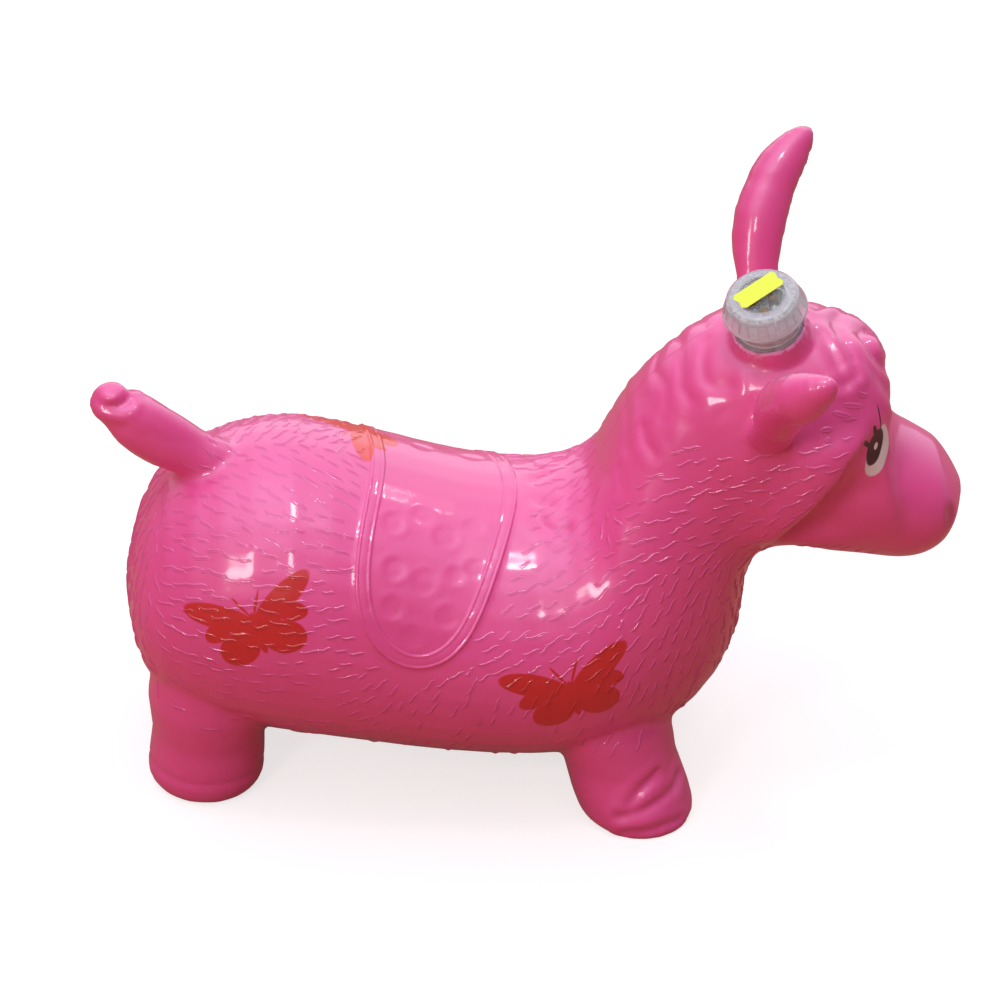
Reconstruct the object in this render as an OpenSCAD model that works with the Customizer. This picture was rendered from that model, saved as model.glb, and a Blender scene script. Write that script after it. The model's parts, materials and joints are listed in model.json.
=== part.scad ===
// Inflatable animal hopper: a hollow soft-PVC animal with a screw-capped flashing light on its head.
// The animal faces +X and stands on its four soles at z = 0.

/* [Trunk] */
// Distance from the origin back to the end of the rump
rump_reach = 236; // [220:1:250]
// Height of the top of the rump above the ground
rump_height = 218; // [207:1:230]
// Height of the seat, at the lowest point of the back
seat_height = 190; // [180:1:200]
// Height of the belly above the ground
belly_height = 20; // [14:1:28]
// Width of the trunk at the saddle
trunk_width = 198; // [180:1:220]
// Distance from the origin forward to the chest
chest_reach = 134; // [126:1:142]
// Thickness of the moulded skin
wall = 2.4; // [1.8:0.1:3.2]

/* [Head] */
// Height of the top of the head above the ground
head_height = 322; // [310:1:340]
// Height of the chin above the ground
chin_height = 162; // [152:1:172]
// Width of the head at the cheeks
head_width = 126; // [112:1:140]
// Width of the muzzle
muzzle_width = 84; // [72:1:96]
// Distance from the origin forward to the nose
nose_reach = 258; // [248:1:266]

/* [Ears and tail] */
// Length of an ear from its root inside the head to its tip
ear_length = 144; // [130:1:158]
// Width of an ear at its widest
ear_width = 32; // [26:1:40]
// Thickness of an ear
ear_thickness = 19; // [14:1:22]
// Distance from the origin back to the tip of the tail
tail_reach = 258; // [250:1:266]
// Length of the tail from its root inside the rump to its tip
tail_length = 100; // [92:1:110]
// Thickness of the tail at its middle
tail_thickness = 29; // [22:1:34]

/* [Legs] */
// Diameter of a hind foot
hind_foot_d = 70; // [60:1:74]
// Diameter of a fore foot
fore_foot_d = 72; // [62:1:80]
// Distance from the origin back to the hind feet
hind_foot_x = 186; // [180:1:194]
// Distance from the origin forward to the fore feet
fore_foot_x = 78; // [70:1:86]
// Distance between the centres of the hind feet
hind_track = 84; // [78:1:100]
// Distance between the centres of the fore feet
fore_track = 124; // [112:1:136]

/* [Light] */
// Distance from the origin forward to the light
light_x = 132; // [126:1:140]
// Distance of the light from the middle, to the animal's right
light_side = 15; // [0:1:18]
// Backward lean of the light
light_lean = 15; // [0:1:18]
// Lean of the light to the animal's right
light_tilt = 16; // [0:1:20]
// Outside diameter of the cup's neck
neck_d = 37.8; // [34:0.2:40]
// Wall of the cup and of its neck
cup_wall = 1.8; // [1.2:0.1:2.4]
// Depth of the cup below the top of the head
cup_depth = 15; // [13:0.5:20]
// Height of the cap's lower rim above the head
cap_base = 19.5; // [17:0.5:22]
// Height of the cap from its lower rim to its top
cap_height = 12.5; // [12:0.5:16]
// Diameter of the cap at its shoulder
cap_top_d = 42.4; // [41:0.2:46]
// Bevel between the shoulder and the flat top
cap_bevel = 2.4; // [1:0.1:2.6]
// Diameter of the skirt's lower rim
skirt_d = 49.4; // [48:0.2:56]
// Wall of the cap
cap_wall = 1.4; // [1.1:0.1:1.8]
// Ribs between the skirt and the threaded sleeve
skirt_ribs = 24; // [12:1:36]
// Diameter of the window
window_d = 27; // [24:0.5:29]
// Thickness of the window
window_t = 1.5; // [1:0.1:2]
// Length of the price label
label_length = 29.4; // [26:0.2:30]
// Width of the price label
label_width = 12.2; // [10:0.2:14]

/* [Electronics] */
// Thickness of the board
board_t = 1.6; // [1:0.2:2]
// Diameter of a diode's lens
led_d = 5; // [4:0.1:5]
// Height of a diode above the board
led_height = 8.6; // [7:0.2:9]
// Diameter of a button cell
cell_d = 11.6; // [9:0.1:11.6]
// Height of a button cell
cell_h = 5.4; // [3.6:0.1:5.4]

/* [Valve] */
// Distance from the origin back to the valve
valve_x = 60; // [40:1:80]
// Diameter of the plug's stem
plug_d = 13.9; // [10:0.1:15.9]
// Length of the plug's stem
plug_length = 12; // [9:0.5:14]

/* [Hidden] */
$fn = 64;

half_trunk = trunk_width / 2;
half_head = head_width / 2;
half_muzzle = muzzle_width / 2;
rump_middle = (rump_height + belly_height) / 2;
withers_height = seat_height + 38;
poll_height = head_height - 5;
nose_height = (head_height + 2 * chin_height) / 3 - 12;

// A value between a and b
function mix(a, b, t) = a + (b - a) * t;
// Height on the crest of the neck, from the withers at 0 to the poll at 1
function crest(t) = mix(withers_height, poll_height, t);
// Height on the throat, from the brisket at 0 to the chin at 1
function throat(t) = mix(belly_height + 19, chin_height, t);

// Cross sections from the rump to the nose:
// x and z of the top point, x and z of the bottom point, and half of the width
trunk_rows = [
    [-rump_reach, rump_middle + 6, -rump_reach, rump_middle - 6, 7],
    [-rump_reach + 7, rump_middle + 40, -rump_reach + 7, rump_middle - 38, 0.50 * half_trunk],
    [-rump_reach + 25, rump_height - 28, -rump_reach + 24, rump_middle - 66, 0.75 * half_trunk],
    [-rump_reach + 57, rump_height - 8, -rump_reach + 62, belly_height + 14, 0.91 * half_trunk],
    [-140, rump_height, -130, belly_height + 7, 0.97 * half_trunk],
    [-90, mix(rump_height, seat_height, 0.4), -85, belly_height + 3, 0.99 * half_trunk],
    [-40, seat_height + 3, -38, belly_height, half_trunk],
    [8, seat_height, 10, belly_height - 1, 0.99 * half_trunk],
    [36, seat_height + 14, 56, belly_height + 2, 0.95 * half_trunk],
    [46, withers_height, chest_reach - 37, throat(0), 0.85 * half_trunk],
    [56, crest(0.32), chest_reach - 10, throat(0.27), 0.73 * half_trunk],
    [72, crest(0.61), chest_reach, throat(0.58), 0.63 * half_trunk],
    [93, crest(0.85), chest_reach, throat(0.83), 0.60 * half_trunk],
    [116, poll_height, 140, chin_height, 0.98 * half_head],
    [136, head_height, 160, chin_height + 6, half_head],
    [162, head_height - 3, 182, chin_height + 2, 0.95 * half_head],
    [188, head_height - 12, 202, chin_height - 1, 0.86 * half_head],
    [203, head_height - 36, 218, chin_height - 3, 0.78 * half_head],
    [209, head_height - 68, 230, chin_height - 2, 1.05 * half_muzzle],
    [nose_reach - 34, head_height - 82, nose_reach - 17, chin_height + 3, half_muzzle],
    [nose_reach - 17, head_height - 92, nose_reach - 8, chin_height + 12, 0.86 * half_muzzle],
    [nose_reach - 5, head_height - 107, nose_reach - 3, chin_height + 25, 0.57 * half_muzzle],
    [nose_reach, nose_height + 4, nose_reach, nose_height - 4, 6]
];
trunk_steps = 2;
// Points round a cross section, outside and inside
trunk_sides = 40;
cavity_sides = 32;

// How far a leg runs below the ground before it is cut flat
sole_depth = 2;
// Height above the sole and radius, as a change from the foot's own, up a leg into the trunk
leg_reach = 90;
leg_rows = [[-sole_depth, -5.6], [4, -0.8], [14, 0], [36, -1], [60, 3], [leg_reach, 2]];
leg_sides = 24;
// Height of the locks of the mane, of the strands of the forelock and of the cheeks
mane_rise = 2.6;
mane_drop = 44;
forelock_rise = 3.2;
cheek_rise = 2.4;
// Row of the cheek's edge at the middle of the head's side, and its slope in degrees to a row
cheek_row = 15;
cheek_slope = 27;
// How far a leg moves along x, and in towards the middle, from its sole up to its end in the trunk
hind_lean = [4, 4];
fore_lean = [-34, 26];

// Share of the length, share of the width and forward bow along an ear
ear_rows = [
    [0, 0.78, 0.09], [0.24, 0.8, 0.07], [0.4, 0.9, 0.022], [0.58, 1, 0], [0.77, 0.88, 0.021],
    [0.91, 0.57, 0.062], [0.97, 0.36, 0.088], [1, 0.1, 0.104]
];
ear_sides = 16;
// Share of the length and of the width along the tail
tail_rows = [[0, 1.4], [0.28, 1.05], [0.5, 1], [0.7, 0.98], [0.82, 0.8], [0.9, 0.78]];
soft_sides = 20;
ear_root = [118, 46, head_height - 60];
ear_turn = 6;
ear_direction = [27, 73, 100];
tail_direction = [-78, 0, 56];
tail_end = tail_rows[len(tail_rows) - 1];
tail_root = [
    tail_end[1] * tail_thickness / 2 - tail_reach - tail_end[0] * tail_length * unit(tail_direction)[0],
    0,
    rump_height - 28
];

// The light's own frame has its zero on the top of the head, and these heights are in that frame
light_z = head_height - 3;
rim_height = 4;
stop_w = 1;
stop_t = 1.5;
stop_fit = 0.1;
pocket_fit = 0.2;
floor_t = 2;
plate_t = 2.4;
seal_t = 1.5;
window_recess = 0.8;
sleeve_fit = 0.8;
sleeve_t = 1.3;
rib_t = 0.9;
rib_base = 1.5;
sleeve_base = 1;
window_fit = 0.05;
boss_ring_t = 1.5;
seal_overhang = 1;
cap_top = cap_base + cap_height;
cap_under = cap_top - plate_t;
neck_top = cap_under - seal_t;
cup_floor = floor_t - cup_depth;
neck_r = neck_d / 2;
neck_bore = neck_r - cup_wall;
sleeve_r = neck_r + sleeve_fit;
ledge_r = window_d / 2 - 1.7;
ledge_t = 1.5;
window_base = cap_top - window_recess - window_t;
ledge_base = window_base - ledge_t;
label_t = 0.2;
label_turn = 29;
label_shift = [-1.6, 4.1];
label_notch = 1.2;

// The board stands on the holder's posts, with the diodes just below the window
board_fit = 0.5;
board_r = neck_bore - board_fit;
lens_gap = 2;
board_top = ledge_base - lens_gap - led_height;
board_base = board_top - board_t;
led_flange_d = led_d + 0.8;
led_flange_t = 1;
led_ring_r = led_flange_d + 0.5;
led_count = 6;
led_turn = -88;
tray_t = 1.6;
tray_top = cup_floor + tray_t;
contact_t = 0.5;
tab_w = 4;
cell_fit = 0.2;
nest_t = 1.2;
nest_r = cell_d / 2 + cell_fit + nest_t;
cell_ring_r = nest_r / sin(60) + 0.2;
cell_count = 3;
cell_base = tray_top + contact_t;
cell_top = cell_base + cell_h;
post_r = 2.4;
post_ring_r = board_r - post_r - 0.9;
screw_r = 1;
screw_fit = 0.05;
screw_length = 9;
screw_head_r = 2.1;
screw_head_t = 1.4;
blob_r = 3;
blob_x = led_ring_r + 1;
blob_t = 1.4;
resistor_size = [3.2, 1.6, 0.6];
can_r = 2.6;
can_wall = 0.5;
can_length = 11.5;
pin_r = 0.4;
spring_r = 1.35;
spring_wire = 0.36;
spring_turns = 9;
spring_length = 8.4;

// The valve stands in the belly, with its flange on a flat boss inside the skin
boss_t = 6;
boss_r = plug_d / 2 + 9.5;
seat_t = 3.6;
plug_fit = 0.05;
plug_r = plug_d / 2;
seat_r = plug_r + plug_fit + seat_t;
seat_flange_t = 2;
seat_flange_r = boss_r - 1.5;
seat_length = plug_length + 3;
plug_head_r = seat_r - 0.4;
plug_head_t = 2.2;
seat_base = belly_height + 0.4;
seat_skin_fit = 0.2;

PINK = "#e8599f";
FROST = "#dfe2e4";

function unit(v) = v / norm(v);
// A smooth curve through the rows b and c, with a and d on either side
function curve(a, b, c, d, t) =
    0.5 * (2 * b + (c - a) * t + (2 * a - 5 * b + 4 * c - d) * t * t + (3 * b - a - 3 * c + d) * t * t * t);
// The rows with smooth ones between them
function smooth_rows(rows, steps) = let (last = len(rows) - 1) [
    for (i = [0 : last - 1], k = [0 : steps - 1])
        curve(rows[max(i - 1, 0)], rows[i], rows[i + 1], rows[min(i + 2, last)], k / steps),
    rows[last]
];
// The loop of points round one row of the trunk
function section(row, sides) = let (
    top = [row[0], 0, row[1]],
    bottom = [row[2], 0, row[3]]
) [
    for (j = [0 : sides - 1]) let (a = 360 * j / sides)
        (top + bottom) / 2 + (top - bottom) / 2 * cos(a) + [0, row[4] * sin(a), 0]
];
// The loops moved inwards along the surface normals
function inset(rings, depth) = let (last = len(rings) - 1, sides = len(rings[0])) [
    for (i = [0 : last]) [
        for (j = [0 : sides - 1]) let (
            along = rings[min(i + 1, last)][j] - rings[max(i - 1, 0)][j],
            around = rings[i][(j + 1) % sides] - rings[i][(j + sides - 1) % sides]
        ) rings[i][j] - depth * unit(cross(along, around))
    ]
];

// 0 at a and 1 at b, straight between them
function ramp(a, b, t) = max(0, min(1, (t - a) / (b - a)));
// 1 at zero, falling to 0 at one on either side
function bump(t) = max(0, 1 - t * t);
// Heights of the mane's locks, the forelock's strands and the cheek's ridge and hollow
// above the row t, at the angle a from the top
function mane(t, a) = mane_rise * ramp(8.2, 9, t) * ramp(14, 13, t) * ramp(-8, 18, a)
    * ramp(mane_drop + 14, mane_drop, a) * (0.7 + 0.3 * cos(360 * t));
function forelock(t, a) = forelock_rise * ramp(14.4, 15.5, t) * ramp(17.7, 17, t) * ramp(-8, 18, a)
    * ramp(64, 46, a) * (0.7 + 0.3 * cos(20 * a));
function cheek(t, a) = let (ahead = t - cheek_row + (a - 90) / cheek_slope)
    cheek_rise * ramp(48, 66, a) * ramp(138, 120, a)
    * (bump((ahead + 0.4) / 0.8) - bump((ahead - 0.6) / 0.8));
// The trunk's loops moved outwards by that relief
function raised(rings) = let (sides = len(rings[0]), full = inset(rings, -1)) [
    for (i = [0 : len(rings) - 1]) [
        for (j = [0 : sides - 1]) let (t = i / trunk_steps, a = 360 * min(j, sides - j) / sides)
            mix(rings[i][j], full[i][j], mane(t, a) + forelock(t, a) + cheek(t, a))
    ]
];

// A closed skin over loops of points
module loft(rings) {
    sides = len(rings[0]);
    last = len(rings) - 1;
    polyhedron(
        points = [for (ring = rings, p = ring) p],
        faces = [
            [for (j = [sides - 1 : -1 : 0]) j],
            [for (j = [0 : sides - 1]) last * sides + j],
            for (i = [0 : last - 1], j = [0 : sides - 1]) let (k = (j + 1) % sides)
                [i * sides + j, i * sides + k, (i + 1) * sides + k, (i + 1) * sides + j]
        ]
    );
}

// One leg: x and y of the foot, its radius, its lean, how deep inside the surface, and its lowest height
module leg(x, y, radius, lean, depth, base) {
    side = [for (row = leg_rows) [radius + row[1] - depth, max(row[0], base)]];
    multmatrix([
        [1, 0, lean[0] / leg_reach, x],
        [0, 1, -sign(y) * lean[1] / leg_reach, y],
        [0, 0, 1, 0]
    ]) rotate_extrude($fn = leg_sides) polygon(concat([[0, base]], side, [[0, leg_reach]]));
}

module legs(depth, base) {
    for (side = [-1, 1]) {
        leg(-hind_foot_x, side * hind_track / 2, hind_foot_d / 2, hind_lean, depth, base);
        leg(fore_foot_x, side * fore_track / 2, fore_foot_d / 2, fore_lean, depth, base);
    }
}

// A tapering soft shape: rounded stations along a length, joined in turn
module soft_taper(rows, length, width, thickness) {
    for (i = [0 : len(rows) - 2])
        hull() for (row = [rows[i], rows[i + 1]])
            translate([0, 0, row[0] * length]) scale([row[1] * width, row[1] * thickness, row[1] * thickness])
                sphere(d = 1, $fn = soft_sides);
}

// Turns the local z axis along a direction, with the local x axis kept upright
module along(origin, direction) {
    d = unit(direction);
    x = unit(cross([0, 1, 0], d));
    y = cross(d, x);
    multmatrix([
        [x[0], y[0], d[0], origin[0]],
        [x[1], y[1], d[1], origin[1]],
        [x[2], y[2], d[2], origin[2]]
    ]) children();
}

module ears() {
    for (side = [-1, 1]) scale([1, side, 1]) along(ear_root, ear_direction) rotate([0, 0, ear_turn]) loft([
        for (row = smooth_rows(ear_rows, 2)) [
            for (j = [0 : ear_sides - 1]) let (a = 360 * j / ear_sides) [
                row[2] * ear_length + row[1] * ear_width / 2 * cos(a),
                -row[1] * ear_thickness / 2 * sin(a),
                row[0] * ear_length
            ]
        ]
    ]);
}

module tail() {
    along(tail_root, tail_direction) soft_taper(tail_rows, tail_length, tail_thickness, tail_thickness);
}

// Places its children in the light's own frame
module on_head() {
    translate([light_x, -light_side, light_z]) rotate([0, -light_lean, 0]) rotate([light_tilt, 0, 0])
        children();
}

module skin() {
    rows = smooth_rows(trunk_rows, trunk_steps);
    pocket_r = neck_r + pocket_fit;
    color(PINK) difference() {
        union() {
            loft(raised([for (row = rows) section(row, trunk_sides)]));
            legs(0, -sole_depth);
            ears();
            tail();
            on_head() translate([0, 0, -cup_depth]) cylinder(r = pocket_r + wall, h = cup_depth + rim_height);
        }
        difference() {
            union() {
                loft(inset([for (row = rows) section(row, cavity_sides)], wall));
                legs(wall, wall);
            }
            on_head() translate([0, 0, -cup_depth - wall])
                cylinder(r = pocket_r + wall, h = cup_depth + rim_height);
            translate([-valve_x, 0, 0]) cylinder(r = boss_r, h = belly_height + boss_t);
        }
        translate([0, 0, -sole_depth]) cube([4 * nose_reach, 4 * nose_reach, 2 * sole_depth], center = true);
        on_head() translate([0, 0, -cup_depth]) cylinder(r = pocket_r, h = 2 * cup_depth);
        translate([-valve_x, 0, 0]) cylinder(r = seat_r + seat_skin_fit, h = belly_height + 2 * boss_t);
    }
}

module valve_seat() {
    flange_base = belly_height + boss_t;
    color("#f4b8d4") translate([-valve_x, 0, 0]) difference() {
        union() {
            translate([0, 0, seat_base]) cylinder(r = seat_r, h = seat_length);
            translate([0, 0, flange_base]) cylinder(r = seat_flange_r, h = seat_flange_t);
        }
        cylinder(r = plug_r + plug_fit, h = seat_base + 2 * seat_length);
    }
}

module valve_plug() {
    color("white") translate([-valve_x, 0, seat_base]) {
        translate([0, 0, -plug_head_t]) cylinder(r = plug_head_r, h = plug_head_t);
        cylinder(r = plug_r, h = plug_length);
    }
}

module light_cup() {
    // The flange that stops the cup on the rim of its pocket
    stop_base = rim_height + stop_fit;
    color(FROST) on_head() rotate_extrude() polygon([
        [0, -cup_depth], [neck_r, -cup_depth], [neck_r, stop_base], [neck_r + stop_w, stop_base],
        [neck_r + stop_w, stop_base + stop_t], [neck_r, stop_base + stop_t], [neck_r, neck_top],
        [neck_bore, neck_top], [neck_bore, cup_floor], [0, cup_floor]
    ]);
}

module light_cap() {
    skirt_r = skirt_d / 2;
    top_r = cap_top_d / 2;
    seat_window_r = window_d / 2 + window_fit;
    ring_r = seat_window_r + boss_ring_t;
    sleeve_out = sleeve_r + sleeve_t;
    groove_top = cap_under - sleeve_t;
    // The groove between the sleeve and the skirt is a wedge, and each rib fills a slice of it
    groove_r = skirt_r - cap_wall;
    rib_r = mix(groove_r, sleeve_out, rib_base / (groove_top - cap_base));
    color(FROST) on_head() {
        rotate_extrude() polygon([
            [ledge_r, ledge_base], [ledge_r, window_base], [seat_window_r, window_base],
            [seat_window_r, cap_top], [top_r - cap_bevel, cap_top], [top_r, cap_top - cap_bevel],
            [skirt_r, cap_base], [groove_r, cap_base],
            [sleeve_out, groove_top], [sleeve_out, cap_base + sleeve_base],
            [sleeve_r, cap_base + sleeve_base], [sleeve_r, cap_under], [ring_r, cap_under],
            [ring_r, ledge_base]
        ]);
        for (k = [0 : skirt_ribs - 1]) rotate([0, 0, 360 * k / skirt_ribs])
            translate([0, rib_t / 2, 0]) rotate([90, 0, 0]) linear_extrude(rib_t) polygon([
                [sleeve_out - sleeve_t / 2, cap_base + rib_base], [rib_r + cap_wall / 2, cap_base + rib_base],
                [sleeve_out + cap_wall / 3, groove_top], [sleeve_out - sleeve_t / 2, groove_top]
            ]);
    }
}

module window_lens() {
    color("aliceblue", 0.5) on_head() translate([0, 0, window_base]) cylinder(d = window_d, h = window_t);
}

module cap_seal() {
    color("white") on_head() translate([0, 0, neck_top]) difference() {
        cylinder(r = neck_r, h = seal_t);
        cylinder(r = neck_bore - seal_overhang, h = 3 * seal_t, center = true);
    }
}

module price_label() {
    tip = label_length / 2;
    edge = label_width / 2;
    color("#e6ff3c") on_head() translate([label_shift[0], label_shift[1], cap_top]) rotate([0, 0, label_turn])
        linear_extrude(label_t) polygon([
            [-tip, -edge + 2], [-tip + 2, -edge], [tip - 2, -edge], [tip, -edge + 2], [tip - label_notch, 0],
            [tip, edge - 2], [tip - 2, edge], [-tip + 2, edge], [-tip, edge - 2], [-tip + label_notch, 0]
        ]);
}

module led_board() {
    color("darkgreen") on_head() translate([0, 0, board_base]) difference() {
        cylinder(r = board_r, h = board_t);
        posts() cylinder(r = screw_r + screw_fit, h = 3 * board_t, center = true);
        cylinder(r = pin_r + screw_fit, h = 3 * board_t, center = true);
    }
}

// Every second diode round the ring, from the first one given
module leds(first) {
    on_head() for (k = [first : 2 : led_count - 1])
        rotate([0, 0, led_turn + 360 * k / led_count]) translate([led_ring_r, 0, board_top]) {
            cylinder(d = led_flange_d, h = led_flange_t);
            cylinder(d = led_d, h = led_height - led_d / 2);
            translate([0, 0, led_height - led_d / 2]) sphere(d = led_d);
        }
}

module amber_leds() {
    color("orange") leds(0);
}

module clear_leds() {
    color("ivory") leds(1);
}

module chip_blob() {
    sphere_r = (blob_r * blob_r + blob_t * blob_t) / (2 * blob_t);
    color("black") on_head() translate([-blob_x, 0, board_base]) intersection() {
        translate([0, 0, sphere_r - blob_t]) sphere(r = sphere_r);
        translate([0, 0, -blob_t]) cylinder(r = blob_r, h = blob_t);
    }
}

module resistors() {
    color("dimgray") on_head() for (k = [-1, 0, 1])
        translate([led_ring_r, 3 * resistor_size[1] * k, board_base - resistor_size[2]])
            translate([-resistor_size[0] / 2, -resistor_size[1] / 2, 0]) cube(resistor_size);
}

// Places its children at the holder's posts
module posts() {
    for (k = [0 : cell_count - 1]) rotate([0, 0, 360 * (k + 0.5) / cell_count])
        translate([post_ring_r, 0, 0]) children();
}

// Places its children at the cells
module cells() {
    for (k = [0 : cell_count - 1]) rotate([0, 0, 360 * k / cell_count])
        translate([cell_ring_r, 0, 0]) children();
}

module board_screws() {
    color("silver") on_head() posts() {
        translate([0, 0, board_top]) cylinder(r = screw_head_r, h = screw_head_t);
        translate([0, 0, board_top - screw_length]) cylinder(r = screw_r, h = screw_length);
    }
}

module battery_holder() {
    color("ivory") on_head() difference() {
        union() {
            translate([0, 0, cup_floor]) cylinder(r = board_r, h = tray_t);
            cells() translate([0, 0, cup_floor]) cylinder(r = nest_r, h = tray_t + cell_h);
            posts() translate([0, 0, cup_floor]) cylinder(r = post_r, h = board_base - cup_floor);
        }
        cells() translate([0, 0, tray_top]) cylinder(r = cell_d / 2 + cell_fit, h = 2 * cell_h);
        posts() translate([0, 0, board_base - screw_length])
            cylinder(r = screw_r + screw_fit, h = 2 * screw_length);
    }
}

module button_cells() {
    color("silver") on_head() cells() translate([0, 0, cell_base]) cylinder(d = cell_d, h = cell_h);
}

module base_contacts() {
    color("gold") on_head() cells() translate([0, 0, tray_top]) cylinder(d = cell_d - 2, h = contact_t);
}

module contact_tabs() {
    color("gold") on_head() cells() {
        translate([-tab_w / 2, -tab_w / 2, cell_top]) cube([tab_w, tab_w, contact_t]);
        translate([-contact_t / 2, -tab_w / 2, cell_top]) cube([contact_t, tab_w, board_base - cell_top]);
    }
}

module switch_can() {
    color("seagreen") on_head() translate([0, 0, board_base - can_length]) difference() {
        cylinder(r = can_r, h = can_length);
        translate([0, 0, can_wall]) cylinder(r = can_r - can_wall, h = can_length - 2 * can_wall);
        translate([0, 0, can_length / 2]) cylinder(r = pin_r + screw_fit, h = can_length);
    }
}

module switch_spring() {
    per_turn = 10;
    sides = 6;
    top = board_base - can_wall - spring_wire / 2;
    color("gray") on_head() loft([
        for (i = [0 : per_turn * spring_turns]) let (a = 360 * i / per_turn) [
            for (j = [0 : sides - 1]) let (
                b = 360 * j / sides,
                r = spring_r + spring_wire / 2 * cos(b),
                z = top - spring_length * i / (per_turn * spring_turns) + spring_wire / 2 * sin(b)
            ) [r * cos(a), r * sin(a), z]
        ]
    ]);
}

module switch_pin() {
    color("gold") on_head() translate([0, 0, board_base - spring_length])
        cylinder(r = pin_r, h = spring_length + board_t);
}

skin();
valve_seat();
valve_plug();
light_cup();
light_cap();
window_lens();
cap_seal();
led_board();
amber_leds();
clear_leds();
chip_blob();
resistors();
board_screws();
battery_holder();
button_cells();
base_contacts();
contact_tabs();
switch_can();
switch_spring();
switch_pin();
price_label();
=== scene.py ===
"""Dresses the inflatable animal hopper: its moulded skin with relief and print, and the light on its head."""

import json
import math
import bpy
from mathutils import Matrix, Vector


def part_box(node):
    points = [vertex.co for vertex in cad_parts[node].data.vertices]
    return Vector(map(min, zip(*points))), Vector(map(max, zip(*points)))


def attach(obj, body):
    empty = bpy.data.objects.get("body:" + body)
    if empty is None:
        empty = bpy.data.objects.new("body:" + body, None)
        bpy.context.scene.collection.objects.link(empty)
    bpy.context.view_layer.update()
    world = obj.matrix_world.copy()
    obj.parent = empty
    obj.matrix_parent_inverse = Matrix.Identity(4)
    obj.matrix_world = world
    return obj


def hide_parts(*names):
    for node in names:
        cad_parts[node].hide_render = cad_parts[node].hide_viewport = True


bl_info = {
    "name": "Animal Hopper",
    "version": (1, 0, 0),
    "blender": (4, 5, 0),
    "location": "View3D > Sidebar > Hopper",
    "description": "Builds the inflatable animal hopper around its packed frame",
    "category": "Object",
}

import bmesh
import bpy
import numpy as np
from bpy.props import FloatProperty, FloatVectorProperty, IntProperty, PointerProperty
from mathutils import Matrix, Vector
from mathutils.bvhtree import BVHTree

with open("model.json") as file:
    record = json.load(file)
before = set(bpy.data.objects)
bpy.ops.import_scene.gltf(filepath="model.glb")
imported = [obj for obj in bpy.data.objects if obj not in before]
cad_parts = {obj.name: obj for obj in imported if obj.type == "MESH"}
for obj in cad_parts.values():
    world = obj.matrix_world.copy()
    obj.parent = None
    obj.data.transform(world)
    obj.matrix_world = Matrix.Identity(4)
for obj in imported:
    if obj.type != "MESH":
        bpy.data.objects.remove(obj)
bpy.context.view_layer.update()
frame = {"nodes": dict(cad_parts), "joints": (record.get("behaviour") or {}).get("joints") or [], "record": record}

MM = 0.001
NODES = frame["nodes"]
JOINTS = {joint["name"]: joint for joint in frame["joints"]}

# The light's own frame: zero on the top of the head, x forward, z along the screw
LIGHT_AT = Vector(JOINTS["cap_turn"]["pos_m"])
LIGHT_UP = Vector(JOINTS["cap_turn"]["axis"])
LIGHT_FORWARD = Vector((LIGHT_UP.z, 0, -LIGHT_UP.x)).normalized()
LIGHT_FRAME = Matrix((LIGHT_FORWARD, LIGHT_UP.cross(LIGHT_FORWARD), LIGHT_UP)).transposed().to_4x4()
LIGHT_FRAME.translation = LIGHT_AT
# One turn of the cap lifts it by the lead of its thread
THREAD_LEAD = 4 * MM


class HopperSkinSettings(bpy.types.PropertyGroup):
    """Sizes and colours of the moulded skin and its print."""

    grain: FloatProperty(
        name="Mesh Grain", description="Edge length of the skin's mesh", default=2.3 * MM, unit="LENGTH"
    )
    saddle_middle: FloatProperty(
        name="Saddle Middle", description="Place of the saddle along the back", default=-49 * MM, unit="LENGTH"
    )
    saddle_half: FloatProperty(
        name="Saddle Half Width", description="Half of the saddle's width", default=43 * MM, unit="LENGTH"
    )
    saddle_drop: FloatProperty(
        name="Saddle Drop", description="How far round the trunk a flap hangs", default=math.radians(78),
        subtype="ANGLE",
    )
    stroke_length: FloatProperty(
        name="Stroke Length", description="Length of one engraved hair", default=11 * MM, unit="LENGTH"
    )
    stroke_spacing: FloatProperty(
        name="Stroke Spacing", description="Least distance between two hairs", default=7.8 * MM, unit="LENGTH"
    )
    stroke_seed: IntProperty(name="Stroke Seed", description="Seed of the hairs' places", default=7)
    pvc_colour: FloatVectorProperty(
        name="Skin", description="Colour of the skin", subtype="COLOR_GAMMA", default=(0.89, 0.333, 0.58)
    )
    print_colour: FloatVectorProperty(
        name="Side Print", description="Ink of the prints on the sides", subtype="COLOR_GAMMA",
        default=(0.80, 0.13, 0.14),
    )
    back_print_colour: FloatVectorProperty(
        name="Back Print", description="Ink of the print on the back", subtype="COLOR_GAMMA",
        default=(0.88, 0.13, 0.06),
    )
    eye_white: FloatVectorProperty(
        name="Eye White", description="Paint of the eyeball", subtype="COLOR_GAMMA", default=(0.88, 0.88, 0.86)
    )
    eye_dark: FloatVectorProperty(
        name="Eye Dark", description="Paint of the pupil and lashes", subtype="COLOR_GAMMA",
        default=(0.16, 0.05, 0.09),
    )


class HopperLightSettings(bpy.types.PropertyGroup):
    """Sizes of the small forms of the light."""

    thread_ridge: FloatProperty(
        name="Thread Ridge", description="Radius of the thread's rounded ridge", default=0.5 * MM, unit="LENGTH"
    )
    thread_turns: FloatProperty(name="Thread Turns", description="Turns of the thread on the neck", default=4.5)
    mark_turn: FloatProperty(
        name="Mark Turn", description="Place of the moulded mark round the cap", default=math.radians(-76),
        subtype="ANGLE",
    )


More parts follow.
